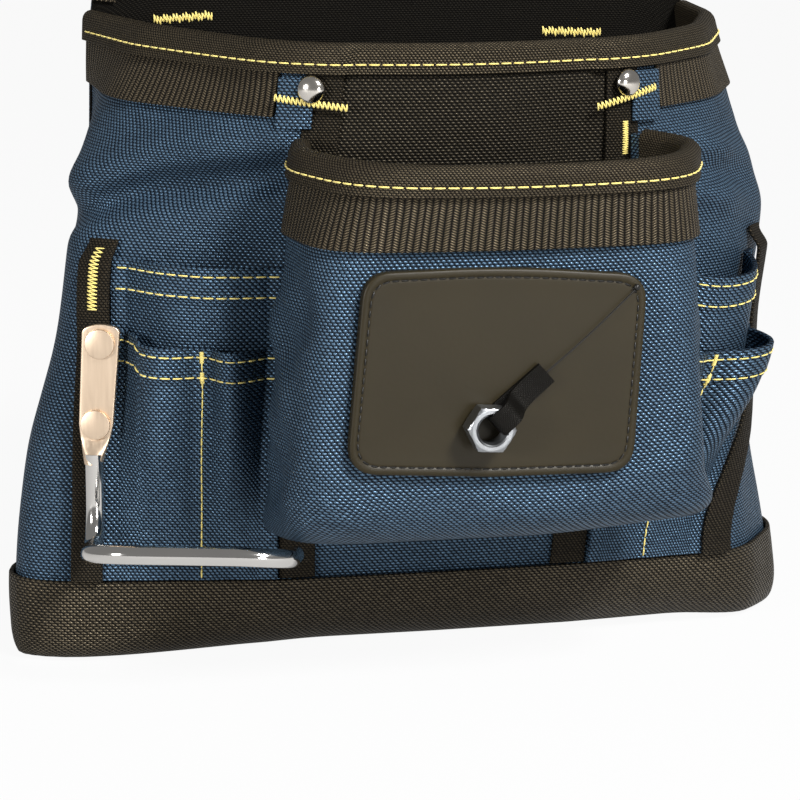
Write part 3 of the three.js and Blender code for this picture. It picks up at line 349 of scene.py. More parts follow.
POCKET_CORNERS = np.array([
    [[-71, -70], [-63, -94], [5, -95], [77.5, -94], [85.5, -70]],
    [[-72, -73], [-66, -109], [5, -110], [76, -109], [82, -73]],
    [[-71.5, -75], [-67.5, -121], [5, -122], [71.5, -121], [75.5, -75]],
    [[-67.5, -78], [-63.5, -122], [5, -122], [68, -122], [72, -78]],
    [[-65.5, -82], [-59.5, -122], [5, -122], [66.5, -122], [72.5, -82]],
    [[-60.5, -88], [-39.5, -126], [5, -132], [55.5, -125], [74.5, -87]],
], float)
POCKET_RADII = np.array([
    [24, 26, 200, 26, 24], [24, 26, 200, 26, 24], [24, 16, 300, 16, 24],
    [24, 16, 300, 16, 24], [26, 22, 300, 22, 26], [34, 60, 140, 60, 34],
], float)
PATCH_Y = -121.5
POCKET_FLAT_TOP = 152.0
SHARES = np.linspace(-1, 1, 1201)
NORMAL_WINDOW = 1.5


def mix(low, high, share):
    """The value at a share of the way from low to high."""
    return low + (high - low) * share


def smooth(share):
    """0 before 0, 1 after 1, and an even S between them."""
    held = np.clip(share, 0, 1)
    return held * held * (3 - 2 * held)


def unit(vectors):
    """Vectors of length 1 in the same directions."""
    return vectors / np.linalg.norm(vectors, axis=-1, keepdims=True)


def right_of(steps):
    """The directions square to steps in a plane, on their right."""
    return np.stack([steps[..., 1], -steps[..., 0]], axis=-1)


def run_of(line):
    """Distance from a line's start to each of its points."""
    return np.concatenate([[0], np.cumsum(np.linalg.norm(np.diff(line, axis=0), axis=1))])


def read_line(line, along, distance):
    """Points at distances along a line, evenly between its own points."""
    return np.stack([np.interp(distance, along, column) for column in line.T], axis=1)


def between_heights(heights, rows, levels):
    """Cubic through rows given at heights, with the slope at each height averaged over its neighbours."""
    last = len(heights) - 1
    at = np.arange(last + 1)
    before, after = np.maximum(at - 1, 0), np.minimum(at + 1, last)
    shape = (-1,) + (1,) * (rows.ndim - 1)
    slopes = (rows[after] - rows[before]) / (heights[after] - heights[before]).reshape(shape)
    z = np.clip(levels, heights[0], heights[-1])
    i = np.clip(np.searchsorted(heights, z) - 1, 0, last - 1)
    span = (heights[i + 1] - heights[i]).reshape(shape)
    t = (z - heights[i]).reshape(shape) / span
    keep = (1 + 2 * t) * (1 - t) ** 2
    return (keep * rows[i] + (1 - keep) * rows[i + 1]
            + span * t * (1 - t) * ((1 - t) * slopes[i] - t * slopes[i + 1]))


def rounded_lines(corners, radii):
    """Lines through corners, level by level, with each inner corner turned into a short parabola."""
    t = np.linspace(0, 1, 9)[None, :, None]
    parts = [corners[:, :1]]
    for i in range(1, corners.shape[1] - 1):
        corner = corners[:, i]
        back, ahead = corners[:, i - 1] - corner, corners[:, i + 1] - corner
        back_length = np.linalg.norm(back, axis=1)
        ahead_length = np.linalg.norm(ahead, axis=1)
        cosine = np.sum(back * ahead, axis=1) / (back_length * ahead_length)
        half = np.arccos(np.clip(cosine, -1, 1)) / 2
        reach = np.minimum(radii[:, i - 1] / np.tan(half), 0.48 * np.minimum(back_length, ahead_length))
        start = corner + back * (reach / back_length)[:, None]
        end = corner + ahead * (reach / ahead_length)[:, None]
        parts.append((1 - t) ** 2 * start[:, None] + 2 * t * (1 - t) * corner[:, None]
                     + t ** 2 * end[:, None])
    parts.append(corners[:, -1:])
    return np.concatenate(parts, axis=1)


def plan_table(lines, middle):
    """For each level, points and outward normals at the shares, and the lengths of its two halves."""
    places, normals, halves = [], [], []
    for line in lines:
        along = run_of(line)
        over = (line[:-1, 0] < middle) & (line[1:, 0] >= middle) & (line[1:, 1] < BACK_Y - 1)
        i = int(np.argmax(over))
        t = (middle - line[i, 0]) / (line[i + 1, 0] - line[i, 0])
        left = mix(along[i], along[i + 1], t)
        right = along[-1] - left
        reach = left + SHARES * np.where(SHARES < 0, left, right)
        ahead = read_line(line, along, reach + NORMAL_WINDOW)
        places.append(read_line(line, along, reach))
        normals.append(right_of(unit(ahead - read_line(line, along, reach - NORMAL_WINDOW))))
        halves.append((left, right))
    return np.array(places), np.array(normals), np.array(halves)


def read_table(table, first_level, share, z):
    """Reads a table with one row per millimetre of height, evenly between its points."""
    share, z = np.broadcast_arrays(np.asarray(share, float), np.asarray(z, float))
    row = np.clip(z - first_level, 0, len(table) - 1.001)
    column = np.clip((share + 1) / 2 * (len(SHARES) - 1), 0, len(SHARES) - 1.001)
    i, j = row.astype(int), column.astype(int)
    a, b = (row - i)[..., None], (column - j)[..., None]
    return ((1 - a) * ((1 - b) * table[i, j] + b * table[i, j + 1])
            + a * ((1 - b) * table[i + 1, j] + b * table[i + 1, j + 1]))


body_levels = np.arange(0, 241, dtype=float)
body_places, body_normals, body_halves = plan_table(rounded_lines(
    between_heights(BODY_HEIGHTS, BODY_CORNERS, body_levels),
    between_heights(BODY_HEIGHTS, BODY_RADII, body_levels)), 0.0)
print("main wall table", body_places.shape)

# %% [markdown]
# The foot of the wall turns under, tightly at the left, widely in front and a little at the right. Straps
# and seams are lines up this wall: each is a function that gives a share of the outline for a height.

# %% Main wall
BOTTOM_TIGHT = 9.0
BOTTOM_WIDE = 34.0
BOTTOM_RIGHT = 14.0
WIDE_FROM, WIDE_OVER = -0.62, 0.45
RIGHT_FROM, RIGHT_OVER = 0.45, 0.3
SIDE_TURN = 0.3
HAMMER_SHARES = (-0.583, -0.636)
HAMMER_LOW, HAMMER_OVER = 50.0, 95.0
SIDE_SHARES = (0.515, 0.67)
SIDE_OVER = 75.0
LEFT_SEAM = (-0.25, -0.268)
RIGHT_SEAM = (0.225, 0.289)
RIM_Z = 216.0
RIM_LIFT = 4.5
LINE_LOW = 33.0
LINE_HIGH = 200.0


def wall(share, z, out):
    """Point on the main pocket at a share, a height and a distance out; its lower edge turns under."""
    share, z, out = np.broadcast_arrays(*(np.asarray(v, float) for v in (share, z, out)))
    place = read_table(body_places, 0, share, z)
    normal = read_table(body_normals, 0, share, z)
    radius = mix(BOTTOM_TIGHT, BOTTOM_WIDE, smooth((share - WIDE_FROM) / WIDE_OVER))
    radius = mix(radius, BOTTOM_RIGHT, smooth((share - RIGHT_FROM) / RIGHT_OVER))
    drop = np.maximum(radius - z, 0)
    inset = radius - np.sqrt(np.maximum(radius ** 2 - drop ** 2, 0))
    x = place[..., 0] + normal[..., 0] * (out - SIDE_TURN * inset)
    y = place[..., 1] + normal[..., 1] * (out - inset)
    return np.stack([x, y, z], axis=-1)


def rim_height(share):
    """Height of the rim, which rises towards the back as the square of the share."""
    return RIM_Z + RIM_LIFT * np.asarray(share) ** 2


def share_of(width, share, z):
    """A width in mm along the outline as a share of its half."""
    level = np.clip(np.round(z).astype(int), 0, len(body_halves) - 1)
    return width / np.where(np.asarray(share) < 0, body_halves[level, 0], body_halves[level, 1])


def beside(centre, distance):
    """The line at a distance in mm to the right of another one."""
    def line(z):
        return centre(z) + share_of(distance, centre(z), z)
    return line


def line_between(low, high):
    """A line up the wall whose share changes evenly with height."""
    def line(z):
        return mix(low, high, (np.asarray(z) - LINE_LOW) / (LINE_HIGH - LINE_LOW))
    return line


def hammer_line(z):
    """The hammer strap's middle, which leans outwards in an even S between two heights."""
    return mix(*HAMMER_SHARES, smooth((np.asarray(z) - HAMMER_LOW) / HAMMER_OVER))


def right_strap_line(z):
    """The right strap's middle, which leans outwards in the same way."""
    return mix(*SIDE_SHARES, smooth((np.asarray(z) - LINE_LOW) / SIDE_OVER))


seam_strap_left = line_between(-0.248, -0.271)
seam_strap_right = line_between(0.228, 0.305)
panel_seam_left = line_between(*LEFT_SEAM)
panel_seam_right = line_between(*RIGHT_SEAM)
pocket_seam_left = line_between(-0.269, -0.302)
pocket_seam_right = line_between(0.25, 0.325)
print("rim from", wall(-1, RIM_Z, 0).round(1), "to", wall(1, RIM_Z, 0).round(1))

# %% [markdown]
# The front pocket's outline starts and ends on the main wall, so its end points are read from that wall.
# Behind the patch it is cut off flat, as the stiff patch holds the cloth.

# %% Front pocket wall
TAPE = 1.5
LAYER_GAP = 0.4
POCKET_GAP = 0.6
POCKET_RIM = 182.0
POCKET_LIFT = 3.5
POCKET_MIDDLE = 5.0

pocket_levels = np.arange(50, 188, dtype=float)
pocket_seat = TAPE + LAYER_GAP + POCKET_GAP
pocket_ends = [wall(line(pocket_levels), pocket_levels, pocket_seat)[:, None, :2]
               for line in (pocket_seam_left, pocket_seam_right)]
pocket_corners = np.concatenate([
    pocket_ends[0], between_heights(POCKET_HEIGHTS, POCKET_CORNERS, pocket_levels), pocket_ends[1]], axis=1)
pocket_lines = rounded_lines(pocket_corners, between_heights(POCKET_HEIGHTS, POCKET_RADII, pocket_levels))
flat_levels = pocket_levels <= POCKET_FLAT_TOP
pocket_lines[flat_levels, :, 1] = np.maximum(pocket_lines[flat_levels, :, 1], PATCH_Y)
pocket_places, pocket_normals, _ = plan_table(pocket_lines, POCKET_MIDDLE)


def pocket(share, z, out):
    """Point on the front pocket at a share of its outline, a height and a distance out from its face."""
    share, z, out = np.broadcast_arrays(*(np.asarray(v, float) for v in (share, z, out)))
    place = read_table(pocket_places, pocket_levels[0], share, z)
    normal = read_table(pocket_normals, pocket_levels[0], share, z)
    return np.concatenate([place + normal * out[..., None], z[..., None]], axis=-1)


def pocket_rim(share):
    """Height of the front pocket's rim, which rises towards its two ends."""
    return POCKET_RIM + POCKET_LIFT * np.asarray(share) ** 2


print("front pocket table", pocket_places.shape)

# %% [markdown]
# ## From grids to cloth
# A cloth piece is two grids of points, its face and its back, joined round the edge. Its map in
# millimetres is measured along the grid, so the weave keeps its size where the cloth is bent.

# %% Slabs
CREASE = math.radians(42)
EDGE = 0.35


def quads_of(ids):
    """Four-sided faces between the neighbours of a grid of vertex numbers."""
    return np.stack([ids[:-1, :-1], ids[1:, :-1], ids[1:, 1:], ids[:-1, 1:]], axis=-1).reshape(-1, 4)


def ring_ids(rings, count):
    """Vertex numbers of rings of points, with each ring's first point again at its end."""
    ids = np.arange(rings * count).reshape(rings, count)
    return np.concatenate([ids, ids[:, :1]], axis=1)


def loft_faces(rings, count, way=1):
    """Faces between rings of points and a cap on both end rings; a way of -1 turns them all round."""
    ids = ring_ids(rings, count)
    faces = [*quads_of(ids), ids[0, :-1], ids[-1, :-1][::-1]]
    return [list(face[::way]) for face in faces]


def make_piece(name, points, faces, uv, materials, body="pouch", face_materials=None):
    """A smooth mesh object, in millimetres, with its cloth map, riding on a body."""
    mesh = bpy.data.meshes.new(name)
    mesh.from_pydata((np.asarray(points) * MM).tolist(), [], [list(map(int, f)) for f in faces])
    layer = mesh.uv_layers.new(name=CLOTH_MAP)
    corner = np.empty(len(mesh.loops), dtype=np.int32)
    mesh.loops.foreach_get("vertex_index", corner)
    layer.data.foreach_set("uv", np.asarray(uv, dtype=np.float32)[corner].ravel())
    mesh.polygons.foreach_set("use_smooth", np.ones(len(mesh.polygons), dtype=bool))
    for material in materials:
        mesh.materials.append(material)
    if face_materials is not None:
        mesh.polygons.foreach_set("material_index", np.asarray(face_materials, dtype=np.int32))
    mesh.update()
    mesh.set_sharp_from_angle(angle=CREASE)
    piece = bpy.data.objects.new(name, mesh)
    bpy.context.scene.collection.objects.link(piece)
    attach(piece, body)
    return piece


def cloth_map(grid):
    """Millimetres along the columns and rows of a grid, averaged so that threads follow its lines."""
    along = np.linalg.norm(np.diff(grid, axis=0), axis=2).mean(axis=1)
    across = np.linalg.norm(np.diff(grid, axis=1), axis=2).mean(axis=0)
    u = np.concatenate([[0], np.cumsum(along)])
    v = np.concatenate([[0], np.cumsum(across)])
    return np.stack(np.meshgrid(u - u[-1] / 2, v, indexing="ij"), axis=-1)


def slab_faces(columns, rows):
    """Faces of two grids laid back to back, and of the four edges between them."""
    ids = np.arange(columns * rows).reshape(columns, rows)
    back = ids + columns * rows
    sides = [
        np.stack([back[:-1, 0], back[1:, 0], ids[1:, 0], ids[:-1, 0]], axis=-1),
        np.stack([ids[:-1, -1], ids[1:, -1], back[1:, -1], back[:-1, -1]], axis=-1),
        np.stack([ids[0, :-1], ids[0, 1:], back[0, 1:], back[0, :-1]], axis=-1),
        np.stack([back[-1, :-1], back[-1, 1:], ids[-1, 1:], ids[-1, :-1]], axis=-1),
    ]
    return np.concatenate([quads_of(ids), quads_of(back)[:, ::-1], *sides])


def bevelled(piece, width, segments, angle):
    """Rounds a piece's edges that are sharper than an angle in degrees."""
    bevel = piece.modifiers.new("edge", "BEVEL")
    bevel.width = width * MM
    bevel.segments = segments
    bevel.limit_method = "ANGLE"
    bevel.angle_limit = math.radians(angle)


def dress(piece, slot, *nodes):
    """Hides the solids that the piece stands for; its slot is not used."""
    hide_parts(*nodes)


def cloth(name, face, back, material, slot, nodes, edge=EDGE, turned=False):
    """A closed cloth piece from two grids; turned swaps the map's axes where the tape runs upwards."""
    uv = cloth_map(face)
    if turned:
        uv = uv[..., ::-1]
    points = np.concatenate([face.reshape(-1, 3), back.reshape(-1, 3)])
    both = np.concatenate([uv.reshape(-1, 2)] * 2)
    piece = make_piece(name, points, slab_faces(*face.shape[:2]), both, [material])
    bevelled(piece, edge, 2, 50)
    dress(piece, slot, *nodes)
    print(name, "points:", len(points))
    return piece


def grid_of(columns, rows):
    """Two arrays from 0 to 1, one along the columns and one along the rows."""
    return np.meshgrid(np.linspace(0, 1, columns), np.linspace(0, 1, rows), indexing="ij")


print("cloth maker ready")

# %% [markdown]
# ## Main pocket
# Stiff nylon doesn't hang in small wrinkles: it buckles into a few broad hollows. The left panel has one
# deep crease that slants up towards the front pocket, with a swelling above it, and a hollow below.

# %% Panels
FABRIC = 1.6
PANEL_FOOT = 20.0
BIND = 1.2
SIDE_END = 1.0
CREASE_SHARES = [-0.8, -0.714, -0.59, -0.463, -0.327, -0.25]
CREASE_HEIGHTS = [157.0, 161.0, 168.6, 172.4, 176.4, 178.0]
SWELLING = 4.6
CREASE_DEPTH = 6.2
HOLLOW_DEPTH = 3.5
TUG = 2.8
TUG_STEP = 19.0
TUG_SLANT = 34.0
FOLDS_END = 206.0


def hill(value, centre, width):
    """1 at the centre, falling off on both sides as a bell curve of a width."""
    return np.exp(-((value - centre) / width) ** 2)


def slow_waves(share, z):
    """Broad shallow unevenness of stiff cloth: a few waves of different slant."""
    return (0.5 * np.sin(share * 21 + z * 0.035) + 0.4 * np.sin(share * 9 - z * 0.06 + 1.3)
            + 0.25 * np.sin(share * 33 + z * 0.09 + 0.4))


def main_folds(share, z):
    """How far the main wall stands out from its plan: bells across the crease and in the hollow, a slanted
    sine for the tugs at the right, and slow waves that die out at the foot and the rim."""
    above = z - np.interp(share, CREASE_SHARES, CREASE_HEIGHTS)
    held = smooth((share + 0.86) / 0.14) * smooth((-0.27 - share) / 0.08) * smooth((FOLDS_END - z) / 20)
    crease = SWELLING * hill(above, 9, 9) - CREASE_DEPTH * hill(above, -4, 6)
    hollow = -HOLLOW_DEPTH * hill(share, -0.36, 0.09) * hill(z, 146, 14)
    pulled = hill(share, 0.55, 0.14) * hill(z, 170, 18) * smooth((191 - z) / 10)
    tugs = TUG * np.sin(math.tau * (z + TUG_SLANT * share) / TUG_STEP)
    slack = mix(0.3, 1.5, smooth((z - 138) / 20)) * smooth((z - 40) / 40) * smooth((205 - z) / 25)
    return held * crease + hollow + pulled * tugs + slow_waves(share, z) * slack


def panel_top(share):
    """The cloth ends just under the fold of the rim's tape."""
    return rim_height(share) - BIND - LAYER_GAP


def panel(name, start, end, low, high, material, slot, node):
    """A panel between two seams and two heights; high is a function of the share."""
    c, r = grid_of(110, 110)
    z = mix(low, high(mix(start(100.0), end(100.0), c)), r)
    share = mix(start(z), end(z), c)
    out = main_folds(share, z)
    return cloth(name, wall(share, z, out), wall(share, z, out - FABRIC), material, slot, [node])


SEAM = 0.006
MIDDLE_JOIN = 118.0


def lower_top(share):
    """The cloth below the front pocket ends at one height all along."""
    return np.full_like(share, MIDDLE_JOIN)


left_back, right_back = line_between(-SIDE_END, -SIDE_END), line_between(SIDE_END, SIDE_END)
left_seam = line_between(*(share - SEAM / 2 for share in LEFT_SEAM))
right_seam = line_between(*(share + SEAM / 2 for share in RIGHT_SEAM))
panel("left_panel", left_back, left_seam, PANEL_FOOT, panel_top, blue_nylon, "blue_nylon", "main_left_panel")
panel("right_panel", right_seam, right_back, PANEL_FOOT, panel_top, blue_nylon, "blue_nylon",
      "main_right_panel")
# The middle panel gets the darkened black nylon: painted shade from the front pocket and the rim.
panel("middle_panel", panel_seam_left, panel_seam_right, MIDDLE_JOIN + LAYER_GAP, panel_top, shaded_black_nylon,
      "black_nylon", "main_center_panel")
panel("lower_panel", panel_seam_left, panel_seam_right, PANEL_FOOT, lower_top, blue_nylon, "blue_nylon",
      "main_lower_panel")

# %% [markdown]
# ## Straps, bands and binding
# Webbing straps are sewn over the panel seams, and a ribbed band runs under the rim on both sides. The
# rim itself is a tape folded over all the layers: its section is carried along the rim.

# %% Straps and bands
STRAP_WIDTH = 12.5
OUTER_STRAP_WIDTH = 10.8
BOOT_TOP = 29.0
STRAP_FOOT = BOOT_TOP + LAYER_GAP
BAND_DROP = 25.0
STRAP_FOLLOWS = 0.5
BAND_FOLLOWS = 0.4
TAB_WIDTH = 12.0
TAB_ASIDE = 9.0
BIND_DROP = 10.0


def strap(name, centre, width, top, out, node):
    """A webbing strap up a line, at a distance out that may change with height; its edges are rounded."""
    c, r = grid_of(14, 110)
    z = mix(STRAP_FOOT, top, r)
    share = centre(z) + share_of(width, centre(z), z) * (c - 0.5)
    base = out(z) + STRAP_FOLLOWS * main_folds(share, z)
    rounded = 0.25 * (2 * c - 1) ** 6
    # The straps use the darkened webbing, partly painted shade.
    return cloth(name, wall(share, z, base + TAPE - rounded), wall(share, z, base), shaded_strap_webbing,
                 "black_webbing", [node])


def on_panels(z):
    """A strap that lies on the panels all the way up."""
    return np.full_like(z, LAYER_GAP)


for side, centre in (("left", seam_strap_left), ("right", seam_strap_right)):
    strap_top = rim_height(centre(RIM_Z)) - BIND - 2 * LAYER_GAP
    strap(f"{side}_seam_strap", centre, STRAP_WIDTH, strap_top, on_panels, f"seam_strap_{side}")


def rim_band(name, start, end, node):
    """A ribbed band under the rim between two shares; it follows the folds less than the cloth does."""
    c, r = grid_of(120, 10)
    share = mix(start, end, c)
    z = mix(rim_height(share) - BAND_DROP, rim_height(share) - BIND - 2 * LAYER_GAP, r)
    base = LAYER_GAP + main_folds(share, z) * BAND_FOLLOWS
    return cloth(name, wall(share, z, base + TAPE), wall(share, z, base), black_webbing, "black_webbing",
                 [node])


def tab_edge(centre, side):
    """Where a band ends: beyond the tab, at whichever of the band's two edges lies further out."""
    reach = side * (TAB_ASIDE + TAB_WIDTH / 2 + LAYER_GAP)
    shares = beside(centre, reach)(np.array([RIM_Z - BAND_DROP, RIM_Z]))
    return shares.min() if side < 0 else shares.max()


rim_band("left_rim_band", -SIDE_END, tab_edge(seam_strap_left, -1), "rim_webbing_left")
rim_band("right_rim_band", tab_edge(seam_strap_right, 1), SIDE_END, "rim_webbing_right")


TAB_ABOVE_POCKET = 6.0
TAB_BELOW_TAPE = 1.2
TAB_THICK = 1.3


def tab(name, centre, aside, node):
    """A small blue tab beside a seam strap, from just above the front pocket to the rim's tape."""
    c, r = grid_of(8, 24)
    z = mix(POCKET_RIM + TAB_ABOVE_POCKET, rim_height(centre(RIM_Z)) - BIND_DROP - TAB_BELOW_TAPE, r)
    share = centre(z) + share_of(aside + TAB_WIDTH * (c - 0.5), centre(z), z)
    base = 2 * LAYER_GAP + TAPE
    return cloth(name, wall(share, z, base + TAB_THICK), wall(share, z, base), blue_nylon, "blue_nylon",
                 [node])


tab("left_tab", seam_strap_left, -TAB_ASIDE, "pocket_tab_left")
tab("right_tab", seam_strap_right, TAB_ASIDE, "pocket_tab_right")

# %% [markdown]
# A curve with a bevel would twist a folded tape at the corners. Here its section stays square to the
# wall: it is carried along the rim as distances out and up, and the same function binds all three rims.

# %% Folded binding
FOLD_STEPS = 9
LEG_STEPS = 7
TAPE_EDGE = 0.25


def fold_section(outer, inner, drop):
    """Middle line of a tape folded over an edge, as distances out and up: up the outer leg, a half circle
    over the top, down the inner leg. Outer may hold many values, for as many sections."""
    outer = np.asarray(outer, float)[..., None]
    middle, half = (outer + inner) / 2, (outer - inner) / 2
    turn = np.linspace(0, math.pi, FOLD_STEPS)
    leg = mix(-drop, -half, np.linspace(0, 1, LEG_STEPS)[:-1])
    flank = np.ones_like(leg)
    outs = np.concatenate([flank * outer, middle + half * np.cos(turn), flank * inner], axis=-1)
    ups = np.concatenate([leg, -half + half * np.sin(turn), leg[..., ::-1]], axis=-1)
    return np.stack([outs, ups], axis=-1)


def tape_faces(section):
    """The two faces of a folded tape: its section moved half a thickness to either side."""
    aside = right_of(unit(np.gradient(section, axis=-2))) * BIND / 2
    return section + aside, section - aside


def folded_tape(name, shares, surface, rim, outer, inner, node):
    """The folded tape's section carried along a rim; outer may change along it."""
    def place(shape):
        return surface(shares[:, None], rim(shares)[:, None] + shape[..., 1], shape[..., 0])

    section = fold_section(np.broadcast_to(outer, shares.shape), inner, BIND_DROP)
    faces = [place(shape) for shape in tape_faces(section)]
    return cloth(name, *faces, binding_tape, "binding_tape", [node], edge=TAPE_EDGE)


STEP_DOWN = 0.03


def rim_tape_out(shares):
    """Where the rim tape's outer leg lies: over the bands, and down on the cloth between the tabs."""
    bare = (smooth((shares - panel_seam_left(RIM_Z) - STEP_DOWN) / STEP_DOWN)
            * smooth((panel_seam_right(RIM_Z) - STEP_DOWN - shares) / STEP_DOWN))
    return mix(2 * LAYER_GAP + TAPE + BIND / 2, LAYER_GAP + BIND / 2, bare)


rim_shares = np.linspace(-SIDE_END, SIDE_END, 260)
folded_tape("rim_tape", rim_shares, wall, rim_height, rim_tape_out(rim_shares),
            -FABRIC - LAYER_GAP - BIND / 2, "rim_binding")

# %% [markdown]
# ## Tool sleeves
# Each side has two layers of sleeves. The cloth is sewn down at its edges, and the lower layer also along
# a divider, so between the seams it bows out. The mouth is a hem: the cloth turned back on itself.

# %% Sleeves
THIN = 1.3
SLEEVE_GAP = 0.7
SECOND = SLEEVE_GAP + THIN + LAYER_GAP
SEAM_MARGIN = 0.1
BULGE_START = 38.0
UPPER_RISE = 92.0
LOWER_RISE = 58.0
STRAP_OVERLAP = 4.8
HEM = 12.0
HEM_THICK = 0.7
HEM_STEP = 0.8
HEM_EDGE = 0.45
RIPPLE = 0.35
PLEAT_AT = 0.2
PLEAT_RUN = 0.03
PLEAT_STEP = 2.6


def arch(c, start, end):
    """Half a sine wave between two shares, 0 outside them."""
    return np.sin(math.pi * np.clip((c - start) / (end - start), 0, 1))


def lobe(c):
    """One arch between the two side seams."""
    return arch(c, SEAM_MARGIN, 1 - SEAM_MARGIN)


def twin(c, divide):
    """Two arches, one on each side of the divider."""
    first = arch(c, SEAM_MARGIN, divide - SEAM_MARGIN / 2)
    return first + arch(c, divide + SEAM_MARGIN / 2, 1 - SEAM_MARGIN)


class SleevePair:
    """An upper and a lower layer between two seams, with their mouths, gape and divider."""

    def __init__(self, side, start, end, upper, lower, dips, gape, bulge, divide):
        self.side, self.start, self.end = side, start, end
        self.mouths = (upper, lower)
        self.dips, self.gape, self.bulge, self.divide = dips, gape, bulge, divide

    def mouth(self, layer, c):
        """Height of a layer's mouth: from seam to seam, with a dip, and a pleat on the left lower layer."""
        low, high = self.mouths[layer]
        pleat = PLEAT_STEP * (1 - smooth((c - PLEAT_AT) / PLEAT_RUN)) * (layer == 1 and self.side == "left")
        return mix(low, high, smooth(c)) - self.dips[layer] * lobe(c) + pleat

    def out(self, layer, c, z):
        """How far a layer's back stands off the wall: it gapes more the higher it is."""
        gaping = self.gape * lobe(c) * smooth((z - BULGE_START) / UPPER_RISE)
        if layer == 0:
            return SLEEVE_GAP + gaping
        return SECOND + gaping + self.bulge * twin(c, self.divide) * smooth((z - BULGE_START) / LOWER_RISE)

    def hem(self, layer, c, z):
        """The hem's extra thickness, which starts in a short step below the mouth."""
        return HEM_THICK * smooth((z - self.mouth(layer, c) + HEM) / HEM_STEP)

    def share(self, c, z):
        """The main wall's share at a share across the sleeve."""
        return mix(self.start(z), self.end(z), c)

    def place(self, layer, c, z, lift=0.0):
        """Point on a layer's face at a share across it and a height."""
        ripple = RIPPLE * np.sin(c * 19 + z * 0.11) * lobe(c)
        out = self.out(layer, c, z) + THIN + self.hem(layer, c, z) + ripple + lift
        return wall(self.share(c, z), z, out)

    def make(self, layer):
        """The cloth of one layer, from the boot up to its mouth."""
        c, r = grid_of(80, 90)
        z = mix(STRAP_FOOT, self.mouth(layer, c), r)
        face = self.place(layer, c, z)
        back = self.place(layer, c, z, -THIN - self.hem(layer, c, z))
        return cloth(f"{self.side}_{LAYERS[layer]}_pocket", face, back, blue_nylon, "blue_nylon",
                     [f"{self.side}_{LAYERS[layer]}_sleeve"], edge=HEM_EDGE)


LAYERS = ("upper", "lower")
beside_strap = STRAP_WIDTH / 2 + 0.6
left_sleeves = SleevePair("left", beside(hammer_line, STRAP_OVERLAP), beside(seam_strap_left, -beside_strap),
                          upper=(142, 141), lower=(115, 113), dips=(0, 0), gape=9, bulge=8, divide=0.57)
right_sleeves = SleevePair("right", beside(seam_strap_right, beside_strap),
                           beside(right_strap_line, -STRAP_OVERLAP),
                           upper=(138, 137), lower=(111, 110), dips=(5, 4), gape=14, bulge=9, divide=0.48)
for pair in (left_sleeves, right_sleeves):
    for layer in range(len(LAYERS)):
        pair.make(layer)

# %% [markdown]
# A strap is sewn over the outer edge of each pair of sleeves. It lies on both layers of cloth, and above
# the upper mouth it steps down to the wall.

# %% Outer straps
STRAP_OUT = SECOND + THIN + LAYER_GAP
HAMMER_STRAP_TOP = 148.0
SIDE_STRAP_TOP = 145.0
STRAP_STEP = 7.0


def over_sleeves(top):
    """The distance out of a strap that ends at a height: over the sleeves, then a step down to the wall."""
    def out(z):
        return mix(LAYER_GAP, STRAP_OUT, smooth((top - 1 - z) / STRAP_STEP))
    return out


strap("hammer_webbing", hammer_line, OUTER_STRAP_WIDTH, HAMMER_STRAP_TOP, over_sleeves(HAMMER_STRAP_TOP),
      "hammer_strap")
strap("right_webbing", right_strap_line, OUTER_STRAP_WIDTH, SIDE_STRAP_TOP, over_sleeves(SIDE_STRAP_TOP),
      "side_strap_right")

# %% [markdown]
# ## Boot
# The boot is a tray of the same heavy nylon. Its wall follows the pocket's foot, and its rows run on under
# the edge to a line in the middle of the floor, where they meet and are merged.

# %% Boot
BOOT_GAP = 0.8
BACK_FACE = 46.0
BOOT_FLOOR = 2.0
SPINE_HALF = 108.0
SPINE_Y = 24.0


def boot_ring(z, lift, out, rear):
    """Closed ring round the foot at a height: the wall's outline, then straight along the back."""
    front = wall(np.linspace(-1, 1, 300), z, out)
    ends = front[[-1, 0]].copy()
    ends[:, 1] = rear
    back = mix(ends[0], ends[1], np.linspace(0, 1, 42)[:, None])
    ring = np.concatenate([front, back])
    ring[:, 2] = z + lift
    return ring


def boot_shell(levels, lift, out, rear):
    """Rows from the spine over the floor to the edge, then up the wall; lift raises the floor's inside."""
    rings = np.stack([boot_ring(z, lift * (1 - z / BOOT_TOP), out, rear) for z in levels], axis=1)
    spine = rings[:, 0].copy()
    spine[:, 0] = np.clip(spine[:, 0], -SPINE_HALF, SPINE_HALF)
    spine[:, 1] = SPINE_Y
    floor = [mix(spine, rings[:, 0], t) for t in np.linspace(0, 1, 12)[:-1]]
    return np.concatenate([np.stack(floor, axis=1), rings], axis=1)


boot_levels = np.concatenate([np.linspace(0, 10, 16), np.linspace(10, BOOT_TOP, 16)[1:]])
boot_face = boot_shell(boot_levels, 0.0, BOOT_GAP + FABRIC, BACK_FACE + LAYER_GAP + FABRIC)
boot_back = boot_shell(boot_levels, BOOT_FLOOR, BOOT_GAP, BACK_FACE + LAYER_GAP)
boot_face = np.concatenate([boot_face, boot_face[:1]])
boot_back = np.concatenate([boot_back, boot_back[:1]])
boot = cloth("boot_tray", boot_face, boot_back, black_nylon, "black_nylon", ["boot"], edge=0.5)


def merge_doubles(piece, distance):
    """Closes seams and poles where a grid meets itself."""
    work = bmesh.new()
    work.from_mesh(piece.data)
    bmesh.ops.remove_doubles(work, verts=work.verts, dist=distance * MM)
    bmesh.ops.dissolve_degenerate(work, edges=work.edges, dist=0.001 * MM)
    work.to_mesh(piece.data)
    work.free()


merge_doubles(boot, 0.02)
print("boot rings:", len(boot_levels))

# %% [markdown]
# ## Front pocket
# The front pocket is a bellied box of blue nylon: its foot tucks under, its rim flares, and the patch keeps
# its middle flat. It gets the same ribbed band and folded tape as the main pocket.

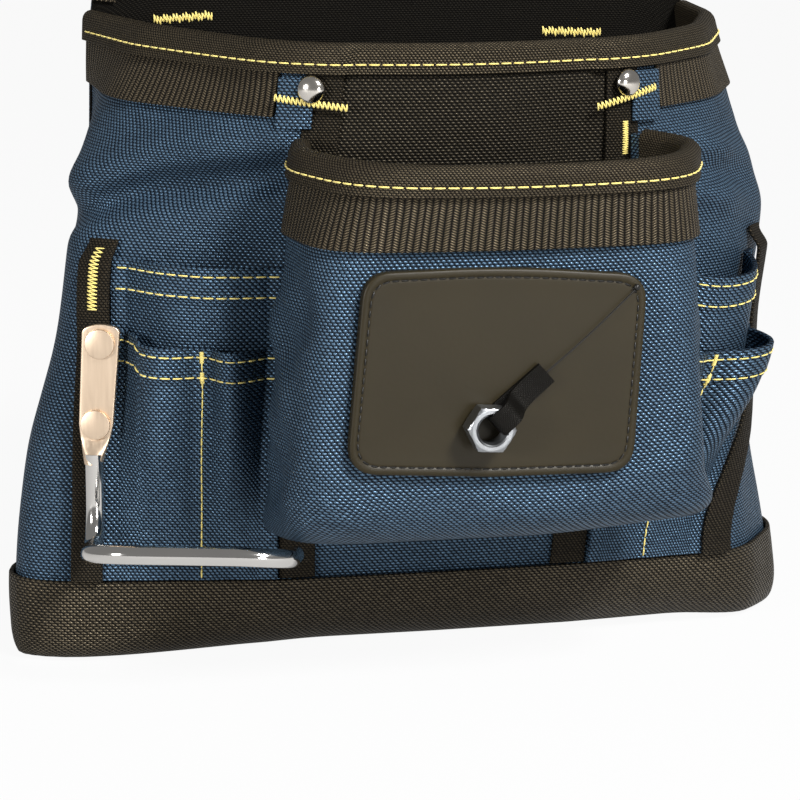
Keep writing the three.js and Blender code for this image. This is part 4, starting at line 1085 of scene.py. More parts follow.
# %% Front wall
POCKET_FOOT = 54.0
FOOT_LIFT = 4.5
BELLY = 22.0
TUCK = 24.0
SAG = 1.6
CORNER_BELLY = 0.15


def pocket_foot(share):
    """Height of the pocket's lower edge, which rises towards its right end."""
    return POCKET_FOOT + FOOT_LIFT * smooth((share - 0.05) / 0.6)


def pocket_folds(share, z):
    """Soft dents beside the patch and over the lower corners, three slanted sines; none behind the patch."""
    aside = smooth((np.abs(share) - 0.5) / 0.16) * smooth((0.97 - np.abs(share)) / 0.06)
    low = smooth((z - POCKET_FOOT) / 14) * smooth((158 - z) / 24)
    dents = (1.8 * np.sin(z * 0.075 + share * 9) + 1.1 * np.sin(z * 0.14 - share * 17 + 1.0)
             + 0.6 * np.sin(z * 0.27 + share * 31))
    return aside * low * dents


def pocket_belly(share, z):
    """How far the foot is rounded out from its straight slope: a quarter ellipse from wall to edge."""
    below = 1 - np.clip((z - pocket_foot(share)) / BELLY, 0, 1)
    round_in = TUCK * (1 - np.sqrt(np.maximum(1 - below ** 2, 0)))
    slope_in = pocket(0.0, z, 0.0)[..., 1] - PATCH_Y
    front = mix(CORNER_BELLY, 1.0, smooth((0.68 - np.abs(share)) / 0.3))
    sag = SAG * np.sin(share * 11 + 0.7) * np.sin(math.pi * below)
    off_seam = smooth((1 - np.abs(share)) / 0.1)
    return front * off_seam * (np.maximum(slope_in - round_in, 0) + sag) * (below > 0)


def front_wall():
    """The wall from foot to rim; its rows lie closer together towards the rounded foot."""
    c, r = grid_of(170, 110)
    share = mix(-1, 1, c)
    z = mix(pocket_foot(share), pocket_rim(share) - BIND - LAYER_GAP, r ** 1.7)
    out = pocket_folds(share, z) + pocket_belly(share, z)
    return cloth("front_wall", pocket(share, z, out), pocket(share, z, out - FABRIC), blue_nylon,
                 "blue_nylon", ["front_pocket_wall"])


front_wall()

# %% [markdown]
# The band and the tape stop short of the pocket's two seams, where they are sewn in. The floor lies just
# inside the wall's foot, so its cut edge doesn't show below the belly.

# %% Front band, tape and floor
POCKET_BAND_DROP = 28.0
TAPE_END = 0.955
FLOOR_INSET = 2.6


def front_band():
    """The ribbed band along the pocket's rim, straight up and down."""
    c, r = grid_of(170, 12)
    share = mix(-TAPE_END, TAPE_END, c)
    z = mix(pocket_rim(share) - POCKET_BAND_DROP, pocket_rim(share) - BIND - 2 * LAYER_GAP, r)
    return cloth("front_band", pocket(share, z, POCKET_GAP + TAPE), pocket(share, z, POCKET_GAP),
                 black_webbing, "black_webbing", ["front_pocket_webbing"])


def front_floor():
    """Straight lines from the wall's foot back to the line between its two ends."""
    share = np.linspace(-1, 1, 120)
    edge = pocket(share, pocket_foot(share), -FLOOR_INSET)
    seat = np.linspace(edge[0], edge[-1], len(edge))
    top = mix(edge[:, None], seat[:, None], np.linspace(0, 1, 20)[:, None])
    top[..., 2] += FABRIC - LAYER_GAP
    return cloth("front_floor", top, top - np.array([0, 0, FABRIC]), blue_nylon, "blue_nylon",
                 ["front_pocket_floor"])


front_band()
folded_tape("front_tape", np.linspace(-TAPE_END, TAPE_END, 200), pocket, pocket_rim,
            2 * POCKET_GAP + TAPE + BIND / 2, -FABRIC - POCKET_GAP - BIND / 2, "front_pocket_binding")
front_floor()

# %% [markdown]
# ## Back panel and belt loops
# The back panel is two layers of cloth with a folded tape round its free edge. The belt loops bow away
# from it, so a belt can pass between.

# %% Back panel
TOP_Z = 304.0
BACK_TOP_HALF = 101.0
CORNER_DROP = 26.0
CORNER_RUN = 24.0
BACK_WAVE = 0.2
LINING_Y = BACK_Y + LAYER_GAP
OUTER_Y = LINING_Y + FABRIC + LAYER_GAP


def back_half(z, side):
    """Half width of the back panel on one side: that of the main wall, then a straight taper to the top."""
    low = np.abs(wall(side, np.minimum(z, RIM_Z), 0.0)[..., 0])
    return mix(low, BACK_TOP_HALF, np.maximum(z - RIM_Z, 0) / (TOP_Z - RIM_Z))


def back_top(c):
    """Height of the back panel's top edge: level, and rounded down at both corners."""
    past = np.clip((np.abs(c) * BACK_TOP_HALF - BACK_TOP_HALF + CORNER_RUN) / CORNER_RUN, 0, 1)
    return TOP_Z - CORNER_DROP * (1 - np.sqrt(np.maximum(1 - past ** 2, 0)))


def back_sheet(name, front_y, material, slot, node):
    """One layer of the back panel, with a shallow wave that is the product of two sines."""
    c, r = grid_of(120, 120)
    c = 2 * c - 1
    z = mix(PANEL_FOOT, back_top(c), r)
    x = np.where(c < 0, c * back_half(z, -1.0), c * back_half(z, 1.0))
    held = smooth((z - 30) / 30) * smooth((TOP_Z - 12 - z) / 20)
    y = front_y + BACK_WAVE * np.sin(x * 0.05 + 0.6) * np.sin(z * 0.04) * held
    sides = [np.stack([x, y + depth, z], axis=-1) for depth in (0.0, FABRIC)]
    return cloth(name, *sides, material, slot, [node])


# The inner layer gets the near-black lining colour, partly painted shade from the rim.
back_sheet("back_inside", LINING_Y, shaded_lining_nylon, "black_nylon", "back_lining")
back_sheet("back_outside", OUTER_Y, blue_nylon, "blue_nylon", "back_outer")

# %% [markdown]
# The tape's section is the same fold as on the rims. Here it is carried round the panel's flat outline:
# up one side, round a corner, across the top and down again.

# %% Back tape
BACK_BIND_DROP = 9.0
BACK_BIND_START = 4.0


def back_edge(side):
    """Half of the back panel's free edge: up the side, then a quarter ellipse round the corner."""
    z = np.linspace(RIM_Z + RIM_LIFT + BACK_BIND_START, TOP_Z - CORNER_DROP, 30)
    turn = np.linspace(0, math.pi / 2, 16)[1:]
    flank = np.stack([side * back_half(z, side), z], axis=-1)
    corner = np.stack([side * (BACK_TOP_HALF - CORNER_RUN * (1 - np.cos(turn))),
                       TOP_Z - CORNER_DROP * (1 - np.sin(turn))], axis=-1)
    return np.concatenate([flank, corner])


right_edge, left_edge = back_edge(1.0), back_edge(-1.0)
top_edge = np.linspace(right_edge[-1], left_edge[-1], 60)[1:-1]
edge_line = np.concatenate([right_edge, top_edge, left_edge[::-1]])
edge_out = right_of(unit(np.gradient(edge_line, axis=0)))


def along_edge(shape):
    """A section of distances back and out, carried along the back panel's edge."""
    flat = edge_line[:, None] + edge_out[:, None] * shape[None, :, 1:]
    y = np.broadcast_to(shape[None, :, 0], flat.shape[:2])
    return np.stack([flat[..., 0], y, flat[..., 1]], axis=-1)


section = fold_section(BACK_FACE + LAYER_GAP + BIND / 2, LINING_Y - LAYER_GAP - BIND / 2, BACK_BIND_DROP)
section[:, 1] += LAYER_GAP + BIND / 2
cloth("back_tape", *(along_edge(shape) for shape in tape_faces(section)), binding_tape, "binding_tape",
      ["back_binding"], edge=TAPE_EDGE)

# %% [markdown]
# A belt loop is sewn down at both ends and stands off between them. A smooth step up and another down
# give that form with no modifier, and leave the gap that a belt needs.

# %% Belt loops
BELT_LOOP_X = 73.0
BELT_LOOP_WIDTH = 25.0
BELT_GAP = 9.0
BELT_LOW = 204.0
BELT_HIGH = TOP_Z - 11.0
BELT_SEWN = 8.4
BELT_RISE = 7.6


def belt_loop(name, x, node):
    """An upright strip of webbing: flat, up a smooth step, along, and down again."""
    c, r = grid_of(16, 110)
    z = mix(BELT_LOW, BELT_HIGH, r)
    from_end = np.minimum(z - BELT_LOW, BELT_HIGH - z)
    y = BACK_FACE + LAYER_GAP + BELT_GAP * smooth((from_end - BELT_SEWN) / BELT_RISE)
    sides = [np.stack([x - BELT_LOOP_WIDTH * (c - 0.5), y + depth, z], axis=-1) for depth in (TAPE, 0.0)]
    return cloth(name, *sides, black_webbing, "black_webbing", [node], turned=True)


belt_loop("left_belt_loop", -BELT_LOOP_X, "belt_loop_left")
belt_loop("right_belt_loop", BELT_LOOP_X, "belt_loop_right")

# %% [markdown]
# ## Patch
# The patch is one sheet of satin rubber with a soft raised edge, sewn down in a shallow groove. A box
# with a bevel would have no groove, so it is a stack of rounded rectangles, each set in from the last and
# raised or lowered, closed by a flat face in the middle. The magnet behind it keeps its plain solid and only
# gets a finish.

# %% Patch
PATCH_X = -2.8
PATCH_Z = 113.9
PATCH_WIDTH = 96.0
PATCH_HEIGHT = 65.4
PATCH_TAPER = 0.8
PATCH_LEAN = 2.7
PATCH_CORNER = 10.0
PATCH_ARCH = 2.4
PATCH_SAG = 1.2
PATCH_BOW = 400.0
PATCH_THICK = 3.2
PATCH_RAISE = 0.8
PATCH_TURN = math.radians(2.2)
PATCH_FRONT = PATCH_Y - LAYER_GAP - PATCH_THICK


def patch_ring(inset):
    """The patch's outline set in from its edge: rounded corners, an arched top and a sagging foot."""
    low = PATCH_WIDTH / 2 - inset
    high = low - PATCH_TAPER
    shift, up = PATCH_LEAN / 2, PATCH_HEIGHT / 2 - inset
    foot = (-shift, -up - PATCH_SAG)
    points = np.array([foot, (low - shift, -up), (high + shift, up), (shift, up + PATCH_ARCH),
                       (shift - high, up), (-low - shift, -up), foot])
    corner = max(PATCH_CORNER - 0.8 * inset, 2.0)
    radii = np.array([[corner, corner, PATCH_BOW, corner, corner]])
    return rounded_lines(points[None], radii)[0, :-1]


def patch_place(ring, height):
    """Turns a ring and sets it at a height in front of the patch's field."""
    x = PATCH_X + ring[:, 0] * math.cos(PATCH_TURN) + ring[:, 1] * math.sin(PATCH_TURN)
    z = PATCH_Z - ring[:, 0] * math.sin(PATCH_TURN) + ring[:, 1] * math.cos(PATCH_TURN)
    return np.stack([x, np.full(len(ring), PATCH_FRONT - height), z], axis=-1)


GROOVE = 2.7
PATCH_PROFILE = [(0.0, -PATCH_THICK), (0.0, -0.2), (0.15, 0.12), (0.5, 0.36), (1.0, 0.5), (1.7, 0.5),
                 (2.2, 0.36), (GROOVE, 0.08), (3.1, 0.2), (3.6, 0.22), (5.0, 0.16), (9.0, 0.12), (16.0, 0.1),
                 (24.0, 0.1)]
patch_rings = [patch_place(patch_ring(inset), height) for inset, height in PATCH_PROFILE]
patch_points = np.concatenate(patch_rings)
patch = make_piece("rubber_patch", patch_points, loft_faces(len(patch_rings), len(patch_rings[0]), -1),
                   patch_points[:, [0, 2]], [patch_rubber])
dress(patch, "patch_rubber", "magnet_patch")
magnet_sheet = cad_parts["magnet_sheet"].data
magnet_sheet.materials.clear()
magnet_sheet.materials.append(magnet_grey)
print("patch rings:", len(patch_rings))

# %% [markdown]
# ## Rivets
# A rivet's head is a turned shape, so a profile of radius and height is carried round an axis. Blender's
# Screw modifier would do that too, but here the axis has to stand square on the wall, which the formula
# gives at once.

# %% Rivets
TURNS = 40


def face_frame(share, z, turn=None):
    """Origin on the main wall and its right, up and outward axes; turn gives the outward angle."""
    origin = wall(share, z, 0.0)
    normal = read_table(body_normals, 0, share, z)
    if turn is not None:
        normal = np.array([math.sin(turn), -math.cos(turn)])
    outward = np.array([normal[0], normal[1], 0.0])
    up = np.array([0.0, 0.0, 1.0])
    return origin, np.stack([np.cross(up, outward), up, outward])


def turned(profile, origin, axes):
    """A profile of radius and height turned about the outward axis; both ends lie on the axis."""
    angle = np.linspace(0, math.tau, TURNS, endpoint=False)
    radius, height = np.array(profile, float).T
    local = np.stack([radius[:, None] * np.cos(angle), radius[:, None] * np.sin(angle),
                      np.broadcast_to(height[:, None], (len(radius), TURNS))], axis=-1)
    return origin + local.reshape(-1, 3) @ axes, loft_faces(len(radius), TURNS, -1)


SHANK_RADIUS = 1.6
SHANK_LENGTH = 4.0
AXIS_GAP = 0.2


def dome(radius, base, height):
    """A quarter ellipse from the head's edge almost to the axis."""
    turn = np.linspace(0, 0.94, 14) * math.pi / 2
    return np.stack([radius * np.cos(turn), base + height * np.sin(turn)], axis=1)


def flat_head(radius, base, height):
    """A low head with a rounded edge and a slightly crowned face."""
    return np.array([(radius, base + 0.75 * height), (radius - 0.12, base + 0.92 * height),
                     (radius - 0.45, base + height), (0.3, base + 1.04 * height)])


def rivet(name, share, z, base, head, material, slot, node, turn=None):
    """A rivet square on the wall: a short shank, then its head's profile from a base upwards."""
    shank = [(AXIS_GAP, base - SHANK_LENGTH), (SHANK_RADIUS, base - SHANK_LENGTH), (SHANK_RADIUS, base),
             (head[0][0] - AXIS_GAP, base - 0.15)]
    points, faces = turned(np.concatenate([shank, head]), *face_frame(share, z, turn))
    piece = make_piece(name, points, faces, points[:, [0, 2]], [material])
    dress(piece, slot, node)
    print(name, "at", points.mean(axis=0).round(1))
    return piece


DOME_Z = 201.5
DOME_SHARES = {"left": -0.292, "right": 0.306}
DOME_RADIUS = 4.7
DOME_HEIGHT = 2.6
ON_TABS = 3 * LAYER_GAP + TAPE + THIN
HEAD_LIFT = 0.3
dome_base = ON_TABS + HEAD_LIFT
for side, share in DOME_SHARES.items():
    rivet(f"{side}_dome", share, DOME_Z, dome_base, dome(DOME_RADIUS, dome_base, DOME_HEIGHT), rivet_nickel,
          "rivet_steel", f"rivet_{side}")

# %% [markdown]
# ## Hammer holder
# The holder is one length of rod: its upper end is forged flat and riveted on, the rest is bent forward
# and across to carry a hammer. The plate is a loft whose section goes from an almost square bar to a
# round one, so the neck needs no join.

# %% Plate
HAMMER_TURN = math.radians(-18)
PLATE_Z = 100.0
PLATE_ASIDE = 2.6
PLATE_THICK = 2.4
PLATE_HEAD = 6.5
PLATE_WAIST = 5.9
PLATE_TOP = 20.5
PLATE_SHOULDER = 17.5
PLATE_HIP = -14.0
PLATE_DRAW = -18.0
PLATE_FOOT = -27.5
PLATE_NECK = 5.2
PLATE_LIFT = 1.2
FLAT_POWER = 0.22
PLATE_RINGS = 110
PLATE_SIDES = 56
ROD_RADIUS = 3.175
RIVET_HEIGHTS = (114.0, 86.0)
FLAT_RADIUS = 5.1
FLAT_HEIGHT = 1.4
plate_line = beside(hammer_line, PLATE_ASIDE)

plate_origin, plate_axes = face_frame(plate_line(PLATE_Z), PLATE_Z, HAMMER_TURN)
rivet_local = np.array([(wall(plate_line(h), h, 0.0) - plate_origin) @ plate_axes.T for h in RIVET_HEIGHTS])
plate_out = max(rivet_local[:, 2].max(), 0.0) + STRAP_OUT + TAPE + PLATE_LIFT
lean = (rivet_local[0, 0] - rivet_local[1, 0]) / (rivet_local[0, 1] - rivet_local[1, 1])


def plate_middle(y):
    """The plate's middle line, which runs through its two rivets."""
    return rivet_local[0, 0] + lean * (y - rivet_local[0, 1])


def plate_half(y):
    """Half width of the forged plate: a rounded head, a slow taper, then drawn in to the neck."""
    body = np.interp(y, [PLATE_FOOT, PLATE_DRAW, PLATE_HIP, PLATE_SHOULDER],
                     [ROD_RADIUS, PLATE_NECK, PLATE_WAIST, PLATE_HEAD])
    past = np.clip((y - PLATE_SHOULDER) / (PLATE_TOP - PLATE_SHOULDER), 0, 0.985)
    return body * np.sqrt(1 - past ** 2.6)


def powered(wave, power):
    """A wave raised to a power with its sign kept; a low power squares a circle."""
    return np.sign(wave) * np.abs(wave) ** power


def plate_rings(rings, count):
    """Sections down the plate: super-ellipses that turn from a flat bar into the round rod."""
    y = np.linspace(PLATE_TOP, PLATE_FOOT, rings)[:, None]
    drawn = smooth((PLATE_DRAW - y) / (PLATE_DRAW - PLATE_FOOT))
    angle = np.linspace(0, math.tau, count, endpoint=False)
    power = mix(FLAT_POWER, 1.0, drawn)
    depth = mix(PLATE_THICK / 2, ROD_RADIUS, drawn)
    x = plate_middle(y) + plate_half(y) * powered(np.cos(angle), power)
    out = plate_out + depth + depth * powered(np.sin(angle), power)
    return np.stack([x, np.broadcast_to(y, x.shape), out], axis=-1).reshape(-1, 3)


plate_points = plate_rings(PLATE_RINGS, PLATE_SIDES)
plate_faces = loft_faces(PLATE_RINGS, PLATE_SIDES)
print("plate stands off the wall, mm:", round(float(plate_out), 1))

# %% [markdown]
# The rod's route is straight runs and bends, chosen beside the photograph. A run of one point is
# straight and a run of two is a bend round the first of them. Smoothing the whole line takes the kinks
# out of the joins.

# %% Rod
ROD_START = (0, -24, 0)
ROD_RUNS = [
    [(0, -37.65, 0)],
    [(0, -58, 0), (0.6, -55.6, 14)],
    [(3.6, -52, 30)],
    [(5.5, -48.4, 45), (20, -48.2, 46)],
    [(56, -48, 46)],
    [(71.5, -48.6, 45), (71.5, -52, 31)],
    [(71.5, -53.2, 19)],
]
RUN_STEPS = 30


def bent(points):
    """A straight run of two points, or a parabola of three, as evenly counted points without the last."""
    p = np.array(points, float)
    t = np.linspace(0, 1, RUN_STEPS)[:-1, None]
    if len(p) == 2:
        return mix(p[0], p[1], t)
    return (1 - t) ** 2 * p[0] + 2 * t * (1 - t) * p[1] + t ** 2 * p[2]


def relaxed(line, count, rounds):
    """A line read again at even steps, then smoothed: each point moves halfway to its neighbours' middle."""
    along = run_of(line)
    line = read_line(line, along, np.linspace(0, along[-1], count))
    for _ in range(rounds):
        line[1:-1] = 0.5 * line[1:-1] + 0.25 * (line[:-2] + line[2:])
    return line


rod_corners = [ROD_START] + [run[-1] for run in ROD_RUNS]
rod_path = np.concatenate([bent([start, *run]) for start, run in zip(rod_corners, ROD_RUNS)]
                          + [np.array(rod_corners[-1:], float)])
rod_path += np.array([plate_middle(ROD_START[1]), 0.0, plate_out + ROD_RADIUS])
rod_length = run_of(rod_path)[-1]
rod_path = relaxed(rod_path, 260, 12)


def tube(path, radii, sides):
    """Rings of a tube along a path; each ring's axes are carried on from the last without twist."""
    step = unit(np.gradient(path, axis=0))
    side = np.cross(step[0], [0.3, 0.2, 1.0])
    sides_out = []
    for direction in step:
        side = side - direction * np.dot(side, direction)
        side /= np.linalg.norm(side)
        sides_out.append(side)
    across_axis = np.array(sides_out)
    up_axis = np.cross(step, across_axis)
    angle = np.linspace(0, math.tau, sides, endpoint=False)
    ring = (np.cos(angle)[None, :, None] * across_axis[:, None]
            + np.sin(angle)[None, :, None] * up_axis[:, None])
    points = path[:, None] + ring * radii[:, None, None]
    return points.reshape(-1, 3), loft_faces(len(path), sides)


from_tip = np.clip((rod_length - np.linspace(0, rod_length, len(rod_path))) / ROD_RADIUS, 0, 1)
rod_radii = ROD_RADIUS * np.sqrt(np.clip(1 - (1 - from_tip) ** 2, 0.02, 1))
rod_points, rod_faces = tube(rod_path, rod_radii, 28)
holder_points = np.concatenate([plate_points, rod_points]) @ plate_axes + plate_origin
holder_faces = plate_faces + [[i + len(plate_points) for i in face] for face in rod_faces]
holder = make_piece("hammer_loop", holder_points, holder_faces, holder_points[:, [0, 2]],
                    [plate_steel, rod_chrome], face_materials=[0] * len(plate_faces) + [1] * len(rod_faces))
bevelled(holder, 0.4, 3, 40)
dress(holder, "satin_steel", "hammer_holder")
for word, height, local in zip(LAYERS, RIVET_HEIGHTS, rivet_local):
    base = plate_out - local[2] + PLATE_THICK + HEAD_LIFT
    head = flat_head(FLAT_RADIUS, base, FLAT_HEIGHT)
    rivet(f"{word}_flat_rivet", plate_line(height), height, base, head, plate_steel, "satin_steel",
          f"hammer_rivet_{word}", HAMMER_TURN)
print("rod length, mm:", round(float(rod_length), 1))

# %% [markdown]
# ## Nut, ribbon and thread
# A hex nut is held on the patch. A ribbon goes through it and is sewn to itself, and a thin thread keeps it
# from being lost. The nut is one closed grid: round the axis one way, over its section the other way.

# %% Nut
NUT_X = -7.4
NUT_Z = 97.4
NUT_FLATS = 14.3
NUT_HOLE = 9.5
NUT_THICK = 8.0
NUT_LIFT = 1.6
NUT_CONE = 1.9
NUT_LEAD = 1.0
THREAD_PITCH = 1.588
THREAD_DEPTH = 0.42
ANCHOR_X = 42.8
ANCHOR_Z = 141.0
ANCHOR_HEIGHT = 1.6

tether_reach = math.hypot(ANCHOR_X - NUT_X, ANCHOR_Z - NUT_Z)
tether_way = np.array([ANCHOR_X - NUT_X, 0.0, ANCHOR_Z - NUT_Z]) / tether_reach
out_way = np.array([0.0, -1.0, 0.0])
tether_axes = np.stack([tether_way, out_way, np.cross(tether_way, out_way)])
tether_origin = np.array([NUT_X, PATCH_FRONT, NUT_Z])


def on_tether(local):
    """Points given along the tether, out from the patch and sideways, set in place."""
    return tether_origin + np.asarray(local, float) @ tether_axes


def nut_section():
    """Radius and height of the nut round its axis: over the outside, across the top, down the hole and back.
    The outside is a hexagon cut off by a cone; the hole has a saw-tooth screw thread between two leads."""
    angle = np.linspace(0, math.tau, 144, endpoint=False)[:, None]
    half = NUT_THICK / 2
    hexagon = NUT_FLATS / 2 / np.cos(np.mod(angle + math.pi / 12, math.pi / 3) - math.pi / 6)
    flat_h = np.linspace(0.1 - half, half - 0.1, 24)
    outer_h = np.concatenate([[-half, 0.01 - half], flat_h, [half - 0.01, half]])[None]
    outer_r = np.minimum(hexagon, NUT_FLATS / 2 - 0.25 + (half - np.abs(outer_h)) * NUT_CONE)
    inner_h = np.linspace(half, -half, 60)[None]
    lead = np.clip((np.abs(inner_h) - half + NUT_LEAD) / NUT_LEAD, 0, 1)
    tooth = np.abs(np.mod(inner_h / THREAD_PITCH + angle / math.tau, 1.0) * 2 - 1) * (1 - lead)
    inner_r = NUT_HOLE / 2 - 0.2 + 0.95 * lead + THREAD_DEPTH * tooth
    across = np.linspace(0, 1, 5)[None, 1:-1]
    top_r = mix(outer_r[:, -1:], inner_r[:, :1], across)
    low_r = mix(inner_r[:, -1:], outer_r[:, :1], across)
    radius = np.concatenate([outer_r, top_r, inner_r, low_r], axis=1)
    face_h = np.full_like(across, half)
    height = np.concatenate([outer_h, face_h, inner_h, -face_h], axis=1)
    return radius, np.broadcast_to(height, radius.shape), angle


nut_r, nut_h, angle = nut_section()
nut_out = nut_h + NUT_LIFT + NUT_THICK / 2
nut_local = np.stack([nut_r * np.cos(angle), nut_out, nut_r * np.sin(angle)], axis=-1)
nut_ids = ring_ids(*nut_r.shape)
nut_ids = np.concatenate([nut_ids, nut_ids[:1]])
nut_points = on_tether(nut_local.reshape(-1, 3))
nut = make_piece("steel_nut", nut_points, quads_of(nut_ids)[:, ::-1], nut_points[:, [0, 2]], [nut_zinc],
                 "tether")
dress(nut, "zinc_nut", "hex_nut")
print("nut points:", nut_r.size)

# %% [markdown]
# The ribbon is soft, so its side view is a line of listed points through the nut's hole, smoothed as
# the rod was. Its two faces are that line moved out by half its thickness.

# %% Ribbon
RIBBON_WIDTH = 7.8
RIBBON_THICK = 0.8
RIBBON_TAIL = 26.0
ribbon_corners = np.array([
    (RIBBON_TAIL, 2.1), (19.0, 1.7), (12.0, 1.0), (9.0, 0.85), (5.0, 0.85), (2.7, 0.9),
    (2.05, 1.5), (2.05, 5.0), (2.05, 9.7), (2.6, 10.3), (4.5, 10.4), (7.6, 10.4),
    (9.2, 9.8), (10.6, 7.6), (12.4, 4.6), (15.5, 3.1), (20.0, 2.75), (RIBBON_TAIL, 3.1),
])
RIBBON_COLUMNS = 12
ribbon_path = relaxed(ribbon_corners, 150, 10)
ribbon_out = -right_of(unit(np.gradient(ribbon_path, axis=0)))


def ribbon_side(shift):
    """One face of the ribbon: its line moved out by a shift and spread to its width."""
    line = (ribbon_path + ribbon_out * shift)[:, None]
    across = np.linspace(-0.5, 0.5, RIBBON_COLUMNS)[None, :, None] * RIBBON_WIDTH
    line = np.broadcast_to(line, (len(ribbon_path), RIBBON_COLUMNS, 2))
    return on_tether(np.concatenate([line, np.broadcast_to(across, line.shape[:2] + (1,))], axis=-1))


ribbon_grids = np.stack([ribbon_side(shift * RIBBON_THICK / 2) for shift in (1, -1)])
ribbon_uv = np.concatenate([cloth_map(ribbon_grids[0]).reshape(-1, 2)] * 2)
ribbon_faces = slab_faces(len(ribbon_path), RIBBON_COLUMNS)
ribbon = make_piece("nut_strap", ribbon_grids.reshape(-1, 3), ribbon_faces, ribbon_uv, [ribbon_cloth],
                    "tether")
dress(ribbon, "ribbon", "nut_ribbon")
print("ribbon length, mm:", round(float(run_of(ribbon_corners)[-1]), 1))

# %% [markdown]
# The thread is a curve with a round bevel, which suits anything thin and even. It runs from a knot on the
# patch to the ribbon's sewn end and hangs a little below the straight line.

# %% Thread and its anchor
CORD_DIAMETER = 0.0005
CORD_LIFT = PATCH_RAISE + 0.3 + ANCHOR_HEIGHT / 2
CORD_END_LIFT = 2.6
CORD_SAG = 0.5

cord_start, cord_end = tether_reach - 1.2, RIBBON_TAIL - 1.5
cord_t = np.linspace(0, 1, 20)
cord_local = np.stack([mix(cord_start, cord_end, cord_t), mix(CORD_LIFT, CORD_END_LIFT, cord_t),
                       CORD_SAG * np.sin(cord_t * math.pi)], axis=1)
cord_points = on_tether(cord_local) * MM
cord_curve = bpy.data.curves.new("tether_cord", "CURVE")
cord_curve.dimensions = "3D"
cord_curve.bevel_depth = CORD_DIAMETER / 2
cord_curve.bevel_resolution = 3
cord_curve.use_fill_caps = True
cord_spline = cord_curve.splines.new("POLY")
cord_spline.points.add(len(cord_points) - 1)
cord_weights = np.ones((len(cord_points), 1))
cord_spline.points.foreach_set("co", np.concatenate([cord_points, cord_weights], axis=1).ravel())
cord_curve.materials.append(dark_thread)
cord = bpy.data.objects.new("tether_cord", cord_curve)
bpy.context.scene.collection.objects.link(cord)
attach(cord, "tether")
dress(cord, "thread", "tether_thread")

knot_base = tether_origin + tether_way * tether_reach + out_way * (PATCH_RAISE + 0.1)
knot_profile = [(0.2, -0.7), (0.8, -0.65), (0.95, 0.0), (1.05, 0.35), (1.05, 0.7), (0.85, 1.0), (0.5, 1.25),
                (0.2, 1.3)]
knot_points, knot_faces = turned(knot_profile, knot_base,
                                 np.stack([np.cross(tether_way, out_way), tether_way, out_way]))
knot = make_piece("thread_knot", knot_points, knot_faces, knot_points[:, [0, 2]], [dark_thread],
                  "tether_knot")
dress(knot, "thread", "tether_anchor")

# %% [markdown]
# ## Stitching
# The cloth is sewn in yellow and the patch in dark thread. A stitch is a short thread that rises from one
# hole and dives into the next. An array modifier along a curve would bend every stitch; here a row is many
# small closed shapes laid along a line on the cloth, all worked out in one go, each leaning out in its
# middle.

# %% Stitches
STITCH = 4.0
STITCH_GAP = 0.45
STITCH_RADIUS = 0.3
TACK_LIFT = 0.25
TACK_SINK = 0.2
RING_AT = np.array([0.0, 0.1, 0.3, 0.5, 0.7, 0.9, 1.0])
RING_THICK = np.array([0.45, 0.85, 1.0, 1.0, 1.0, 0.85, 0.45])
RING_SIDES = 6


def stitches(name, starts, ends, outward, radius, lift, sink, thread):
    """Closed threads between pairs of points: rings on a bow that leans outward by lift in its middle and
    sinks into the cloth at its ends."""
    along = unit(ends - starts)
    outward = unit(outward - along * np.sum(outward * along, axis=1, keepdims=True))
    aside = np.cross(along, outward)
    bow = 4 * RING_AT * (1 - RING_AT)
    rise = lift * bow ** 0.6 - sink * (1 - bow) ** 3
    angle = np.linspace(0, math.tau, RING_SIDES, endpoint=False)
    centre = (starts[:, None] + (ends - starts)[:, None] * RING_AT[None, :, None]
              + outward[:, None] * rise[None, :, None])
    spin = np.cos(angle)[None, :, None] * aside[:, None] + np.sin(angle)[None, :, None] * outward[:, None]
    points = (centre[:, :, None] + spin[:, None] * radius * RING_THICK[None, :, None, None]).reshape(-1, 3)
    last = (len(RING_AT) - 1) * RING_SIDES
    caps = np.array([[0, 1, 2, 3], [0, 3, 4, 5]])
    faces = np.concatenate([quads_of(ring_ids(len(RING_AT), RING_SIDES)), caps, (caps + last)[:, ::-1]])
    firsts = np.arange(len(starts)) * len(RING_AT) * RING_SIDES
    every = (faces[None] + firsts[:, None, None]).reshape(-1, 4)
    piece = make_piece(name, points, every, points[:, [0, 2]], [thread])
    print(name, "stitches:", len(starts))
    return piece


def outward_of(line):
    """Outward direction beside a line on the pouch: level, and square to the line's run in plan."""
    step = np.gradient(line, axis=0)
    level = np.stack([step[:, 1], -step[:, 0], np.zeros(len(line))], axis=1)
    return level / np.maximum(np.linalg.norm(level, axis=1, keepdims=True), 1e-9)


def running(name, line, out, stitch=STITCH, gap=STITCH_GAP, radius=STITCH_RADIUS, lift=0.28, sink=0.5,
            thread=yellow_thread):
    """A row of running stitches along a line of points, with its outward directions."""
    along = run_of(line)
    count = max(int(along[-1] / (stitch + gap)), 1)
    begin = np.arange(count) * along[-1] / count
    size = along[-1] / count - gap
    starts, ends = read_line(line, along, begin), read_line(line, along, begin + size)
    return stitches(name, starts, ends, read_line(out, along, begin + size / 2), radius, lift, sink, thread)


def zigzag(name, low_line, high_line, out, radius=0.3):
    """Threads that go back and forth between two lines, as on a bar tack."""
    points = np.empty((len(low_line) * 2, 3))
    points[0::2], points[1::2] = low_line, high_line
    directions = np.repeat(out, 2, axis=0)
    return stitches(name, points[:-1], points[1:], directions[:-1], radius, TACK_LIFT, TACK_SINK,
                    yellow_thread)


def normal_at(share, z):
    """The main wall's outward direction, level with the floor."""
    flat = read_table(body_normals, 0, share, z)
    return np.concatenate([flat, np.zeros(flat.shape[:-1] + (1,))], axis=-1)


print("stitch makers ready")

